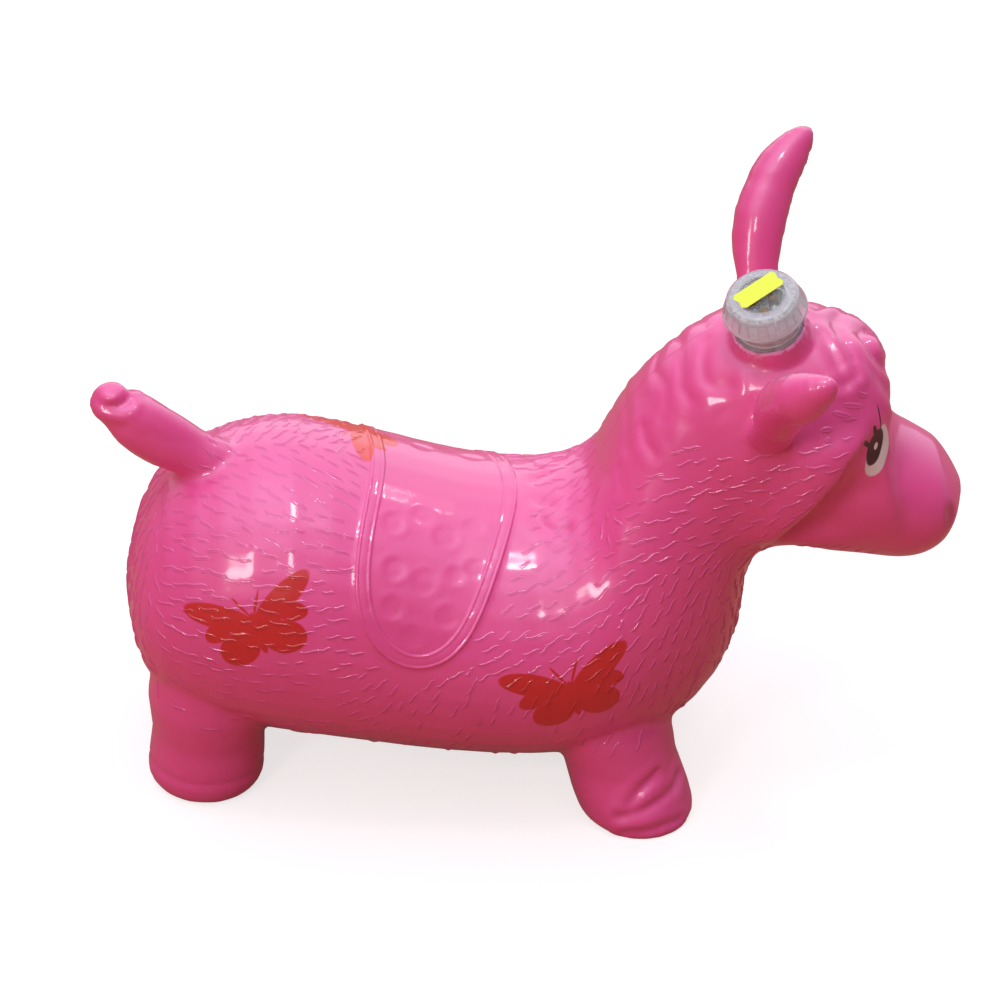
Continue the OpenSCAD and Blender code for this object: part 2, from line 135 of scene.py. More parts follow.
class HopperStageSettings(bpy.types.PropertyGroup):
    """Where the camera stands."""

    azimuth: FloatProperty(
        name="Azimuth", description="Angle round the object", default=math.radians(-3.5), subtype="ANGLE"
    )
    elevation: FloatProperty(
        name="Elevation", description="Angle above the floor", default=math.radians(36), subtype="ANGLE"
    )
    roll: FloatProperty(
        name="Roll", description="Clockwise turn of the picture", default=math.radians(4), subtype="ANGLE"
    )
    distance: FloatProperty(
        name="Distance", description="From the camera to its target", default=2.4, unit="LENGTH"
    )
    frame_width: FloatProperty(
        name="Frame Width", description="Width of the picture at the target", default=0.598, unit="LENGTH"
    )


def smooth(low, high, value):
    """0 below low, 1 above high, and an even curve between them."""
    t = np.clip((value - low) / (high - low), 0, 1)
    return t * t * (3 - 2 * t)


def swell(distance, width):
    """1 where the distance is 0, falling smoothly to 0 at the width."""
    return np.clip(1 - (distance / width) ** 2, 0, None) ** 2


def place_mesh(name, mesh):
    """A new object at the origin with this mesh."""
    piece = bpy.data.objects.new(name, mesh)
    bpy.context.scene.collection.objects.link(piece)
    return piece


def evaluated_mesh(piece):
    """The piece's mesh with its modifiers applied."""
    graph = bpy.context.evaluated_depsgraph_get()
    return bpy.data.meshes.new_from_object(piece.evaluated_get(graph), depsgraph=graph)


def positions_of(mesh):
    """The vertices of a mesh in millimetres, one row each."""
    flat = np.empty(len(mesh.vertices) * 3)
    mesh.vertices.foreach_get("co", flat)
    return flat.reshape(-1, 3) / MM


def normals_of(mesh):
    """The vertex normals of a mesh, one row each."""
    flat = np.empty(len(mesh.vertices) * 3)
    mesh.vertex_normals.foreach_get("vector", flat)
    return flat.reshape(-1, 3)


def move_vertices(mesh, points):
    """Puts the vertices of a mesh at these points, in millimetres."""
    mesh.vertices.foreach_set("co", (points * MM).ravel())
    mesh.update()


def mirrored(points):
    """The points with both sides of the animal laid on its left side."""
    return np.stack([points[:, 0], np.abs(points[:, 1]), points[:, 2]], axis=1)


def beside_axis(points, root, axis):
    """How far along an axis from its root each point is, and its offset across the axis."""
    offset = points - root
    along = offset @ axis
    return along, offset - along[:, None] * axis


def distance_from(points, spot):
    """Distance of each point from one spot."""
    return np.linalg.norm(points - np.array(spot), axis=1)


def smooth_mesh(name, verts, faces):
    """A new mesh of these points, in metres, with smooth faces."""
    mesh = bpy.data.meshes.new(name)
    mesh.from_pydata(verts, [], faces)
    mesh.shade_smooth()
    return mesh


def grid_faces(rows, wide, closed):
    """Faces between rows of points, each as wide as the next, and from the last to the first if closed."""
    return [
        (i * wide + j, (i + 1) % rows * wide + j, (i + 1) % rows * wide + j + 1, i * wide + j + 1)
        for i in range(rows if closed else rows - 1) for j in range(wide - 1)
    ]


# Skin. Its relief is worked out in millimetres

# The valve's bore and the light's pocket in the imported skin, and the gap that is welded in its mesh
VALVE_BORE = 11.2 * MM
BELLY_TOP = LIGHT_AT.z / 4
LIGHT_COLLAR = 21.8 * MM
LIGHT_POCKET = 34 * MM
WELD = 0.012 * MM
# Rounds of smoothing that take the facets off the skin, and that soften the locks of its mane, with the two
# steps of a round: one that keeps the volume, and one that doesn't
FACET_ROUNDS = 40
MANE_ROUNDS = 30
FULL_STEPS = (0.5, -0.52)
SOFT_STEPS = (0.5, 0.5)


def outer_shell():
    """A closed copy of the skin's outside, with the valve's bore and the light's pocket covered over."""
    shell = bmesh.new()
    shell.from_mesh(NODES["skin"].data)
    bmesh.ops.remove_doubles(shell, verts=shell.verts, dist=WELD)
    low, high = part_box("valve_plug")
    valve = (Vector(low) + Vector(high)) / 2
    to_light = LIGHT_FRAME.inverted()

    def is_inner(face):
        middle = face.calc_center_median()
        beside = to_light @ middle
        in_bore = (middle - valve).xy.length < VALVE_BORE and middle.z < BELLY_TOP
        return in_bore or (beside.xy.length < LIGHT_COLLAR and abs(beside.z) < LIGHT_POCKET)

    inner = [face for face in shell.faces if is_inner(face)]
    bmesh.ops.delete(shell, geom=inner, context="FACES")
    nose = max(shell.verts, key=lambda vert: vert.co.x)
    outside = set(nose.link_faces)
    edge_of_walk = list(outside)
    while edge_of_walk:
        for edge in edge_of_walk.pop().edges:
            fresh = [face for face in edge.link_faces if face not in outside]
            outside.update(fresh)
            edge_of_walk.extend(fresh)
    bmesh.ops.delete(shell, geom=[face for face in shell.faces if face not in outside], context="FACES")
    bmesh.ops.holes_fill(shell, edges=[edge for edge in shell.edges if edge.is_boundary], sides=0)
    bmesh.ops.triangulate(shell, faces=shell.faces)
    mesh = bpy.data.meshes.new("shell")
    shell.to_mesh(mesh)
    shell.free()
    return mesh


def even_mesh(mesh, grain):
    """The closed mesh made again with even faces."""
    piece = place_mesh("remesh", mesh)
    remesh = piece.modifiers.new("Remesh", "REMESH")
    remesh.mode = "VOXEL"
    remesh.voxel_size = grain
    result = evaluated_mesh(piece)
    bpy.data.objects.remove(piece)
    return result


def relax(points, edges, rounds, steps):
    """The points, each moved by these shares of the way to the middle of its neighbours, round by round."""
    count = np.bincount(edges.ravel(), minlength=len(points))[:, None]
    for step in steps * rounds:
        total = np.stack([
            np.bincount(edges[:, 0], points[edges[:, 1], axis], len(points))
            + np.bincount(edges[:, 1], points[edges[:, 0], axis], len(points))
            for axis in range(3)
        ], axis=1)
        points = points + step * (total / count - points)
    return points


# The collar that the skin forms round the light's cup: radius at its foot and top, height, and its bore
COLLAR_FOOT = 24.5
COLLAR_RADIUS = 21.0
COLLAR_TOP = 4.0
COLLAR_BORE = 19.3
BORE_DEPTH = 22


def shaped_collar(points):
    """The points with a collar and its bore raised round the light's cup."""
    to_light = np.array(LIGHT_FRAME.inverted())
    beside = (points * MM) @ to_light[:3, :3].T + to_light[:3, 3]
    away = np.hypot(beside[:, 0], beside[:, 1]) / MM
    height = beside[:, 2] / MM
    near = np.abs(height) < LIGHT_POCKET / MM
    lift = np.clip(COLLAR_TOP - height, 0, None) * smooth(COLLAR_FOOT, COLLAR_RADIUS, away)
    lift = np.where(away < COLLAR_BORE, -BORE_DEPTH - height, lift)
    return points + (near * lift)[:, None] * np.array(LIGHT_UP)


# Height of the trunk's axis, and the arc on its side for each degree round it
TRUNK_AXIS_Z = 108
ARC_PER_DEGREE = 1.64
# How far back the saddle's flaps sweep, the angle round the trunk where they are there, and how far from the
# saddle's edge distances are told apart
FLAP_SWEEP = 13
SWEEP_END = 65
EDGE_REACH = 60
BORDER_RISE = 1.0
SEAT_RISE = 0.4
# A dent's rim, as a share of its depth, with its width, and the slope down to its flat bottom
DENT_RIM = 0.45
DENT_RIM_WIDTH = 3.5
DENT_SLOPE = 4
# Place along the back, angle round the trunk, radius and depth of each dent in the seat
SADDLE_DENTS = [
    (-79, 27, 8, 0.5), (-78, 44, 8, 0.5), (-78, 57, 8, 0.4), (-31, 24, 8, 0.4), (-46, 60, 8, 0.4),
    (-48, 30, 9, 0.35), (-60, 48, 9, 0.35), (-30, 42, 8, 0.35), (-62, 22, 8, 0.35), (-42, 45, 7, 0.35),
    (-66, 67, 8, 0.3),
]


def girth_angle(points):
    """Angle round the trunk from the middle of the back, in degrees."""
    return np.degrees(np.arctan2(np.abs(points[:, 1]), points[:, 2] - TRUNK_AXIS_Z))


def saddle_edge(points, skin):
    """Distance in millimetres outside the saddle's edge, and below zero inside it."""
    half = skin.saddle_half / MM
    drop = math.degrees(skin.saddle_drop)
    around = girth_angle(points)
    across = (points[:, 0] - saddle_middle(around, skin)) / half
    down = around / drop
    slope = np.hypot(2 * across / half, 4 * down ** 3 / (drop * ARC_PER_DEGREE))
    edge = (across ** 2 + down ** 4 - 1) / np.maximum(slope, 0.02)
    return np.where(points[:, 2] > TRUNK_AXIS_Z, np.clip(edge, -EDGE_REACH, EDGE_REACH), EDGE_REACH)


def saddle_middle(around, skin):
    """Place of the saddle's middle line along the back, at an angle round the trunk."""
    return skin.saddle_middle / MM - FLAP_SWEEP * smooth(0, SWEEP_END, around)


def saddle_relief(points, skin):
    """A raised border, and a smooth seat with shallow dents that have a rim and a flat bottom."""
    edge = saddle_edge(points, skin)
    border = smooth(2.0, -0.5, edge) * smooth(-7.8, -5.8, edge)
    height = BORDER_RISE * border + SEAT_RISE * smooth(-5.8, -8, edge)
    for x, around, radius, depth in SADDLE_DENTS:
        apart = np.hypot(points[:, 0] - x, (girth_angle(points) - around) * ARC_PER_DEGREE)
        rim = DENT_RIM * swell(apart - radius, DENT_RIM_WIDTH)
        height += depth * (rim - smooth(radius, radius - DENT_SLOPE, apart))
    return height


# The crest of the neck in the middle plane, from the withers to the poll, as x and z
CREST = np.array([(46, 228), (116, 317)])


def crest_distance(points):
    """Distance down from the crest of the neck, and how much a point belongs to the neck."""
    along = (CREST[1] - CREST[0]) / np.linalg.norm(CREST[1] - CREST[0])
    away = (points[:, [0, 2]] - CREST[0]) @ np.array([along[1], -along[0]])
    up = (points[:, [0, 2]] - CREST[0]) @ along
    on_neck = smooth(-34, -12, up) * smooth(118, 98, up) * smooth(60, 40, away)
    return np.hypot(points[:, 1], np.maximum(away, 0)), on_neck


# An ear's root and direction on the left side, the direction across it and out to the side, and how far the
# right ear's tip droops
EAR_ROOT = np.array((118, 46, 262))
EAR_ALONG = np.array((0.213, 0.576, 0.789))
EAR_OUT = np.array((-0.25, 0.81, -0.53))
EAR_DROOP = np.array((-8, 0, -3))
# What is added to an ear's outer face for the thickness of a grip, how far its tip bends out and draws back,
# and how full the tip is
EAR_GRIP = 11
EAR_BEND = 5
EAR_DRAW = 3
EAR_TIP = 2.8


def ear_place(points):
    """How far along its ear a point is, and its distance from the ear's axis."""
    along, across = beside_axis(mirrored(points), EAR_ROOT, EAR_ALONG)
    return along, np.linalg.norm(across, axis=1)


def on_ear(points):
    """1 on the free part of an ear."""
    along, away = ear_place(points)
    return smooth(32, 44, along) * smooth(30, 24, away)


def shaped_ears(points):
    """The points with the ears rounded to the thickness of a grip, and the right one drooping a little."""
    along, away = ear_place(points)
    outward = (mirrored(points) - EAR_ROOT) @ EAR_OUT
    free = smooth(34, 66, along) * smooth(38, 32, away)
    tip = smooth(70, 144, along)
    push = EAR_GRIP * smooth(-10, 10, outward) * smooth(150, 112, along) + EAR_BEND * tip
    side = np.stack([np.ones(len(points)), np.sign(points[:, 1]), np.ones(len(points))], axis=1)
    move = (push[:, None] * EAR_OUT - EAR_DRAW * tip[:, None] * EAR_ALONG) * side
    move += (tip * (points[:, 1] < 0))[:, None] * EAR_DROOP
    return points + free[:, None] * move


def ear_tip_relief(points):
    """A round end on each ear."""
    along, _ = ear_place(points)
    return EAR_TIP * on_ear(points) * smooth(100, 128, along)


def mane_share(points):
    """1 on the crest of the neck, round the light and on the forelock, apart from the ears."""
    down, on_neck = crest_distance(points)
    near_light = smooth(86, 66, distance_from(points, LIGHT_AT / MM))
    _, ear_away = ear_place(points)
    return np.maximum(on_neck * smooth(66, 48, down), near_light) * smooth(30, 44, ear_away)


# Grooves between the locks of the mane, curls at the withers, strands of the forelock, and folds round the
# forelegs and the tail's tuft: points on the left side, half width and depth
GROOVES = [
    ([(69, 0, 279), (74, 20, 282), (75, 27, 278), (73, 34, 268)], 4.5, 0.7),
    ([(83, 4, 296), (83, 20, 290), (83, 26, 285), (88, 35, 282)], 4.5, 0.7),
    ([(97, 8, 306), (94, 26, 298), (96, 32, 294), (101, 36, 293), (109, 38, 296)], 4.5, 0.7),
    ([(54, 0, 254), (54, 15, 253), (54, 30, 243)], 4.5, 0.6),
    ([(51, 33, 231), (52, 43, 224)], 4.0, 0.8),
    ([(63, 29, 258), (64, 35, 253), (69, 43, 249)], 4.0, 0.9),
    ([(6, 9, 189), (9, 15, 189), (14, 15, 191)], 4.0, 0.9),
    ([(6, 25, 187), (10, 32, 186), (17, 37, 186), (23, 36, 188)], 4.0, 1.1),
    ([(161, 14, 319), (167, 23, 313), (173, 33, 306), (177, 39, 299)], 4.0, 1.1),
    ([(172, 2, 318), (175, 14, 315), (179, 23, 311), (182, 30, 304)], 4.0, 1.1),
    ([(189, 0, 311), (191, 6, 308), (194, 12, 303), (202, 12, 295)], 4.5, 1.8),
    ([(170, 43, 300), (178, 38, 301), (184, 33, 302)], 3.5, 1.0),
    ([(86, 78, 39), (77, 86, 33), (70, 90, 25)], 4.0, 1.6),
    ([(101, 65, 28), (98, 74, 25), (89, 85, 23), (77, 91, 20), (65, 92, 16)], 4.0, 1.6),
    ([(102, 83, 7), (93, 90, 8), (85, 94, 7), (74, 95, 6), (67, 95, 5)], 3.5, 1.4),
    ([(-253, 5, 246), (-247, 11, 246), (-241, 9, 246), (-237, 6, 247)], 4.0, 2.6),
]


def line_distance(points, line):
    """Distance of each point from a line of straight stretches."""
    nearest = np.full(len(points), np.inf)
    for start, end in zip(line, line[1:]):
        stretch = np.subtract(end, start)
        share = np.clip((points - start) @ stretch / (stretch @ stretch), 0, 1)
        nearest = np.minimum(nearest, np.linalg.norm(points - start - share[:, None] * stretch, axis=1))
    return nearest


# The banks of a groove: height as a share of its depth, distance and width as shares of its half width
BANK_RISE = 0.45
BANK_PLACE = 1.8
BANK_WIDTH = 1.3


def groove_relief(points):
    """Soft grooves with rounded banks."""
    height = np.zeros(len(points))
    for line, width, depth in GROOVES:
        apart = line_distance(mirrored(points), line)
        bank = BANK_RISE * swell(apart - BANK_PLACE * width, BANK_WIDTH * width)
        height += depth * (bank - swell(apart, width))
    return height


# The round end of the forelock over the brow, and its flatter top: place, radius and height
FORELOCK = [((198, 0, 301), 15, 3.0), ((178, 6, 316), 24, -3.5)]


def forelock_relief(points):
    """A flatter top of the forelock, and its round end over the brow."""
    return sum(height * swell(distance_from(points, spot), radius) for spot, radius, height in FORELOCK)


# The edge of the furry cheek in side view, as heights and places along x, and the share of a step along x
# that leads away from it
CHEEK_EDGE = [(196, 143), (206, 147), (218, 154), (234, 165), (248, 174), (259, 179), (272, 189)]
CHEEK_LEAN = 0.75
CHEEK_RIDGE = 4.0
CHEEK_HOLLOW = 8.5


def cheek_distance(points):
    """Distance forward from the edge of the cheek, in side view."""
    heights, places = zip(*CHEEK_EDGE)
    return CHEEK_LEAN * (points[:, 0] - np.interp(points[:, 2], heights, places))


def cheek_relief(points):
    """A soft ridge along the cheek, with a hollow in front of it."""
    ahead = cheek_distance(points)
    x, y, z = points.T
    span = smooth(186, 206, z) * smooth(282, 264, z) * smooth(10, 34, np.abs(y)) * smooth(110, 130, x)
    ridge = CHEEK_RIDGE * smooth(-32, -4, ahead) * smooth(4, -2, ahead)
    lower = 0.2 + 0.8 * smooth(256, 226, z)
    hollow = CHEEK_HOLLOW * smooth(-3, 6, ahead) * smooth(48, 8, ahead) * lower
    return span * (ridge - hollow)


NOSTRIL = (248.5, 31.5, 205)
NOSTRIL_RADII = (6, 6, 9)
NOSTRIL_LIP = 0.5
NOSTRIL_DEPTH = 1.8


def nostril_relief(points):
    """A shallow dent at each nostril."""
    apart = np.linalg.norm((mirrored(points) - NOSTRIL) / NOSTRIL_RADII, axis=1)
    return NOSTRIL_LIP * swell(apart, 1.7) - NOSTRIL_DEPTH * swell(apart, 1.05)


# x and y of each foot, and how far its middle moves along x and in y for each millimetre of height
HIND_FOOT = (-186, 42, 0.044, -0.044)
FORE_FOOT = (78, 62, -0.378, -0.289)
# The groove above a hind hoof: height, how much higher it is on the outside, depth, and the hoof's swell below
HOOF_LINE = 14
HOOF_RISE = 2.5
HOOF_GROOVE = 0.8
HOOF_SWELL = 0.4


def round_leg(points, foot):
    """Angle round a leg from straight out to the side towards the front, and distance from its middle."""
    x, y, lean_x, lean_y = foot
    ahead = points[:, 0] - x - lean_x * points[:, 2]
    out = np.abs(points[:, 1]) - y - lean_y * points[:, 2]
    return np.degrees(np.arctan2(ahead, out)), np.hypot(ahead, out)


def leg_relief(points):
    """A soft groove above each hind hoof."""
    angle, away = round_leg(points, HIND_FOOT)
    above = points[:, 2] - HOOF_LINE - HOOF_RISE * np.cos(np.radians(angle))
    return smooth(52, 44, away) * (HOOF_SWELL * swell(above + 6, 8) - HOOF_GROOVE * swell(above, 3))


TAIL_ROOT = np.array((-184, 0, 190))
TAIL_ALONG = np.array((-0.812, 0, 0.583))
TAIL_UP = np.array((0.583, 0, 0.812))
# The tail's fuller underside, the height and the twist of its strands, and the slimmer tip
TAIL_FULL = 4.5
STRAND_RISE = 0.9
STRAND_DEPTH = 0.5
STRAND_TURNS = 2.5
STRAND_LEAD = 22
TAIL_TAPER = 1.2


def tail_place(points):
    """How far along the tail a point is, its distance from the tail's axis, and its angle round it."""
    along, across = beside_axis(points, TAIL_ROOT, TAIL_ALONG)
    return along, np.linalg.norm(across, axis=1), np.arctan2(across[:, 1], across @ TAIL_UP)


def tail_relief(points):
    """A fuller middle, twisted strands along it, and a slimmer tip."""
    along, away, angle = tail_place(points)
    on_tail = smooth(14, 40, along) * smooth(34, 26, away)
    strands = STRAND_RISE * np.abs(np.sin(STRAND_TURNS * angle + along / STRAND_LEAD)) ** 0.7 - STRAND_DEPTH
    lower = smooth(0.5, -0.7, np.cos(angle))
    full = TAIL_FULL * swell(along - 52, 36) * (0.3 + 0.7 * lower)
    return on_tail * (full + strands - TAIL_TAPER * smooth(78, 92, along))


def relief(points, skin):
    """Height of all the moulded relief above the plain skin, in millimetres."""
    bare = 1 - on_ear(points)
    height = saddle_relief(points, skin) + bare * (groove_relief(points) + cheek_relief(points))
    for part in (forelock_relief, ear_tip_relief, nostril_relief, leg_relief, tail_relief):
        height += part(points)
    return height


# How high the bare hoof reaches on each leg, and the share of the hair that is left low on the flanks
HOOVES = [(HIND_FOOT, 58), (FORE_FOOT, 56)]
SPARSE_HAIR = 0.35


def fur_cover(points, normals, skin):
    """1 where the moulding has engraved hair, and less where it is sparse, low on the flanks."""
    x, _, z = points.T
    down, on_neck = crest_distance(points)
    along, tail_away, _ = tail_place(points)
    cover = smooth(4, 8, saddle_edge(points, skin)) * (1 - on_ear(points))
    cover *= 1 - on_neck * smooth(56, 44, down)
    cover *= smooth(66, 78, distance_from(points, LIGHT_AT / MM))
    cover *= 1 - smooth(-3, 0, cheek_distance(points)) * smooth(180, 190, z) * smooth(128, 140, x)
    cover *= smooth(208, 200, x) * (1 - smooth(16, 26, along) * smooth(34, 26, tail_away))
    for foot, hoof in HOOVES:
        _, leg_away = round_leg(points, foot)
        cover *= 1 - smooth(56, 48, leg_away) * smooth(hoof + 6, hoof, z)
    cover *= SPARSE_HAIR + (1 - SPARSE_HAIR) * smooth(85, 135, z)
    return cover * smooth(-0.9, -0.6, normals[:, 2])


# Slope of the hair in side view, in degrees, along the trunk and up the cheek, and on the rump's top, the
# belly and the neck
TRUNK_FLOW = [
    (-236, -24), (-170, -18), (-130, -10), (-95, -3), (-20, 12), (30, 22), (65, 40), (100, 55), (140, 60),
]
CHEEK_FLOW = [(190, 42), (215, 32), (240, 18), (265, 6), (290, -12)]
RUMP_FLOW, BELLY_FLOW, NECK_FLOW = -42, 56, 9


def fur_flow(points, normals):
    """Direction of the hair on the skin, straight down at the rump's end and the chest."""
    x, z = points[:, 0], points[:, 2]
    slope = np.interp(x, *zip(*TRUNK_FLOW))
    for share, turned in (
        (smooth(165, 205, z) * smooth(-70, -105, x), RUMP_FLOW),
        (smooth(135, 105, z) * smooth(-118, -70, x), BELLY_FLOW),
        (smooth(165, 205, z) * smooth(20, 60, x), NECK_FLOW),
        (smooth(118, 140, x) * smooth(180, 200, z), np.interp(z, *zip(*CHEEK_FLOW))),
    ):
        slope = slope + share * (turned - slope)
    rise = -np.sign(points[:, 1]) * np.sin(np.radians(slope))
    flow = np.stack([np.cos(np.radians(slope)), rise * normals[:, 2], -rise * normals[:, 1]], axis=1)
    end = smooth(0.6, 0.9, np.abs(normals[:, 0]))[:, None]
    return flow * (1 - end) + end * [0, 0, -1]


def set_attribute(mesh, name, kind, field, values):
    """Stores one value for each vertex."""
    layer = mesh.attributes.new(name, kind, "POINT")
    layer.data.foreach_set(field, np.asarray(values, dtype=np.float32).ravel())


class HOPPER_OT_skin(bpy.types.Operator):
    """Builds the moulded skin with its relief and print"""

    bl_idname = "hopper.skin"
    bl_label = "Build Skin"

    def execute(self, context):
        skin = context.scene.hopper_skin
        mesh = even_mesh(outer_shell(), skin.grain)
        edges = np.empty(len(mesh.edges) * 2, dtype=np.int32)
        mesh.edges.foreach_get("vertices", edges)
        edges = edges.reshape(-1, 2)
        points = relax(positions_of(mesh), edges, FACET_ROUNDS, FULL_STEPS)
        softened = relax(points, edges, MANE_ROUNDS, SOFT_STEPS)
        points += mane_share(points)[:, None] * (softened - points)
        move_vertices(mesh, points)
        raised = shaped_collar(shaped_ears(points)) + normals_of(mesh) * relief(points, skin)[:, None]
        raised[:, 2] = np.maximum(raised[:, 2], 0)
        move_vertices(mesh, raised)
        mesh.shade_smooth()
        hide = place_mesh("hide", mesh)
        mesh.materials.clear()
        mesh.materials.append(soft_pvc(skin))
        set_attribute(mesh, "fur_cover", "FLOAT", "value", fur_cover(points, normals_of(mesh), skin))
        set_attribute(mesh, "fur_flow", "FLOAT_VECTOR", "vector", fur_flow(points, normals_of(mesh)))
        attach(hide, "root")
        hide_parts("skin")
        return {"FINISHED"}


# Share of the half width and height of the lip, across one engraved hair
HAIR_SECTION = [(-1, -0.1), (-0.62, 0.08), (-0.3, 0.3), (0, -0.14), (0.3, 0.74), (0.62, 0.14), (1, -0.1)]
HAIR_HALF_WIDTH = 1.8 * MM
HAIR_BEND = 1.1 * MM
HAIR_STEPS = 5
# Most hairs on a square metre, how far one may turn from the flow, in radians, and its least and most scale
HAIR_DENSITY = 60000.0
HAIR_TURN = 0.22
HAIR_SCALES = ((0.6, 0.75, 1), (1.3, 1.1, 1))


def hair_template(length):
    """One engraved hair along x, flat, with the height of each vertex in its lift attribute."""
    verts, lifts = [], []
    for step in range(HAIR_STEPS + 1):
        t = 2 * step / HAIR_STEPS - 1
        taper = math.sqrt(1 - 0.9 * t * t)
        sway = HAIR_BEND * (math.sin(2.6 * t) + 0.6 * t * t)
        for across, lift in HAIR_SECTION:
            verts.append((t * length / 2, sway + across * HAIR_HALF_WIDTH * (0.45 + 0.55 * taper), 0))
            lifts.append(lift * taper * MM if lift > 0 else lift * MM)
    mesh = smooth_mesh("hair", verts, grid_faces(HAIR_STEPS + 1, len(HAIR_SECTION), False))
    set_attribute(mesh, "lift", "FLOAT", "value", lifts)
    return place_mesh("hair", mesh)


def new_tree(name, inputs):
    """An empty geometry node tree with these inputs, by name and kind of socket."""
    tree = bpy.data.node_groups.new(name, "GeometryNodeTree")
    for label, kind in inputs:
        tree.interface.new_socket(label, in_out="INPUT", socket_type="NodeSocket" + kind)
    tree.interface.new_socket("Geometry", in_out="OUTPUT", socket_type="NodeSocketGeometry")
    return tree


def hair_tree():
    """Geometry nodes that lay the engraved hairs on the skin along its flow."""
    tree = new_tree("engraved_hair", [
        ("Geometry", "Geometry"), ("Spacing", "Float"), ("Seed", "Int"), ("Hair", "Object"),
        ("Finish", "Material"),
    ])
    given = add(tree, "NodeGroupInput").outputs
    cover, flow, lift = (
        add(tree, "GeometryNodeInputNamedAttribute", {"data_type": kind}, {"Name": name}).outputs["Attribute"]
        for name, kind in (("fur_cover", "FLOAT"), ("fur_flow", "FLOAT_VECTOR"), ("lift", "FLOAT"))
    )
    spread = add(tree, "GeometryNodeDistributePointsOnFaces", {"distribute_method": "POISSON"}, {
        "Mesh": given["Geometry"], "Distance Min": given["Spacing"], "Density Max": HAIR_DENSITY,
        "Density Factor": cover, "Seed": given["Seed"],
    })
    facing = add(tree, "FunctionNodeAxesToRotation", {"primary_axis": "Z", "secondary_axis": "X"}, {
        "Primary Axis": spread.outputs["Normal"], "Secondary Axis": flow,
    })
    sway, size = (
        add(tree, "FunctionNodeRandomValue", {"data_type": "FLOAT_VECTOR"}, {
            "Min": least, "Max": most, "Seed": given["Seed"],
        }).outputs["Value"]
        for least, most in (((0, 0, -HAIR_TURN), (0, 0, HAIR_TURN)), HAIR_SCALES)
    )
    aside = add(tree, "FunctionNodeEulerToRotation", None, {"Euler": sway})
    turned = add(tree, "FunctionNodeRotateRotation", {"rotation_space": "LOCAL"}, {
        "Rotation": facing.outputs["Rotation"], "Rotate By": aside.outputs["Rotation"],
    })
    hair = add(tree, "GeometryNodeObjectInfo", None, {"Object": given["Hair"]})
    laid = add(tree, "GeometryNodeInstanceOnPoints", None, {
        "Points": spread.outputs["Points"], "Instance": hair.outputs["Geometry"],
        "Rotation": turned.outputs["Rotation"], "Scale": size,
    })
    real = add(tree, "GeometryNodeRealizeInstances", None, {"Geometry": laid.outputs["Instances"]})
    nearest = add(tree, "GeometryNodeProximity", {"target_element": "FACES"}, {"Geometry": given["Geometry"]})
    upward = add(tree, "GeometryNodeSampleNearestSurface", {"data_type": "FLOAT_VECTOR"}, {
        "Mesh": given["Geometry"], "Value": add(tree, "GeometryNodeInputNormal").outputs["Normal"],
    })
    raised = add(tree, "ShaderNodeVectorMath", {"operation": "SCALE"}, {
        "Vector": upward.outputs["Value"], "Scale": lift,
    })
    place = add(tree, "ShaderNodeVectorMath", {"operation": "ADD"}, {
        0: nearest.outputs["Position"], 1: raised.outputs["Vector"],
    })
    seated = add(tree, "GeometryNodeSetPosition", None, {
        "Geometry": real.outputs["Geometry"], "Position": place.outputs["Vector"],
    })
    finish_tree(tree, seated.outputs["Geometry"], given["Finish"])
    return tree


def finish_tree(tree, geometry, finish):
    """Ends a geometry node tree: plain smooth faces with their material."""
    soft = add(tree, "GeometryNodeSetShadeSmooth", None, {"Geometry": geometry})
    real = add(tree, "GeometryNodeRealizeInstances", None, {"Geometry": soft.outputs["Geometry"]})
    done = add(tree, "GeometryNodeSetMaterial", None, {
        "Geometry": real.outputs["Geometry"], "Material": finish,
    })
    add(tree, "NodeGroupOutput", None, {"Geometry": done.outputs["Geometry"]})


def grown(name, base, tree, **inputs):
    """The plain mesh that a geometry node tree makes from a base mesh, as a new piece."""
    piece = place_mesh(name, base)
    modifier = piece.modifiers.new("nodes", "NODES")
    modifier.node_group = tree
    for item in tree.interface.items_tree:
        if item.in_out == "INPUT" and item.name in inputs:
            modifier[item.identifier] = inputs[item.name]
    result = evaluated_mesh(piece)
    piece.modifiers.clear()
    piece.data = result
    return piece


class HOPPER_OT_hair(bpy.types.Operator):
    """Lays the engraved hairs on the skin"""

    bl_idname = "hopper.hair"
    bl_label = "Engrave Hair"

    def execute(self, context):
        skin = context.scene.hopper_skin
        hide = bpy.data.objects["hide"]
        template = hair_template(skin.stroke_length)
        hairs = grown(
            "engraved_hair", hide.data, hair_tree(), Spacing=skin.stroke_spacing, Seed=skin.stroke_seed,
            Hair=template, Finish=hide.data.materials[0],
        )
        bpy.data.objects.remove(template)
        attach(hairs, "root")
        return {"FINISHED"}


# Across a seam, in millimetres, and height above the skin: a fine line along the saddle's border,
# a crease in the brow, and the parting line of the mould
BEAD_SECTION = [
    (-1.9, -0.15), (-1.1, 0.08), (-0.5, 0.48), (0.1, 0.62), (0.7, 0.42), (1.2, 0.06), (1.9, -0.15),
]
CREASE_SECTION = [
    (-2.4, -0.1), (-1.5, 0.3), (-0.7, 0.75), (0, -0.12), (0.7, 0.55), (1.5, 0.25), (2.4, -0.1),
]
PARTING_SECTION = [(-1.2, -0.12), (-0.5, 0.12), (0, 0.28), (0.5, 0.12), (1.2, -0.12)]
SEAM_STEP = 2.0
# How far inside the saddle's edge its two fine lines are, their points, and a reach that is outside the skin
SADDLE_LINE_INSETS = (0.2, 6.8)
SADDLE_LINE_POINTS = 400
SADDLE_LINE_REACH = 140
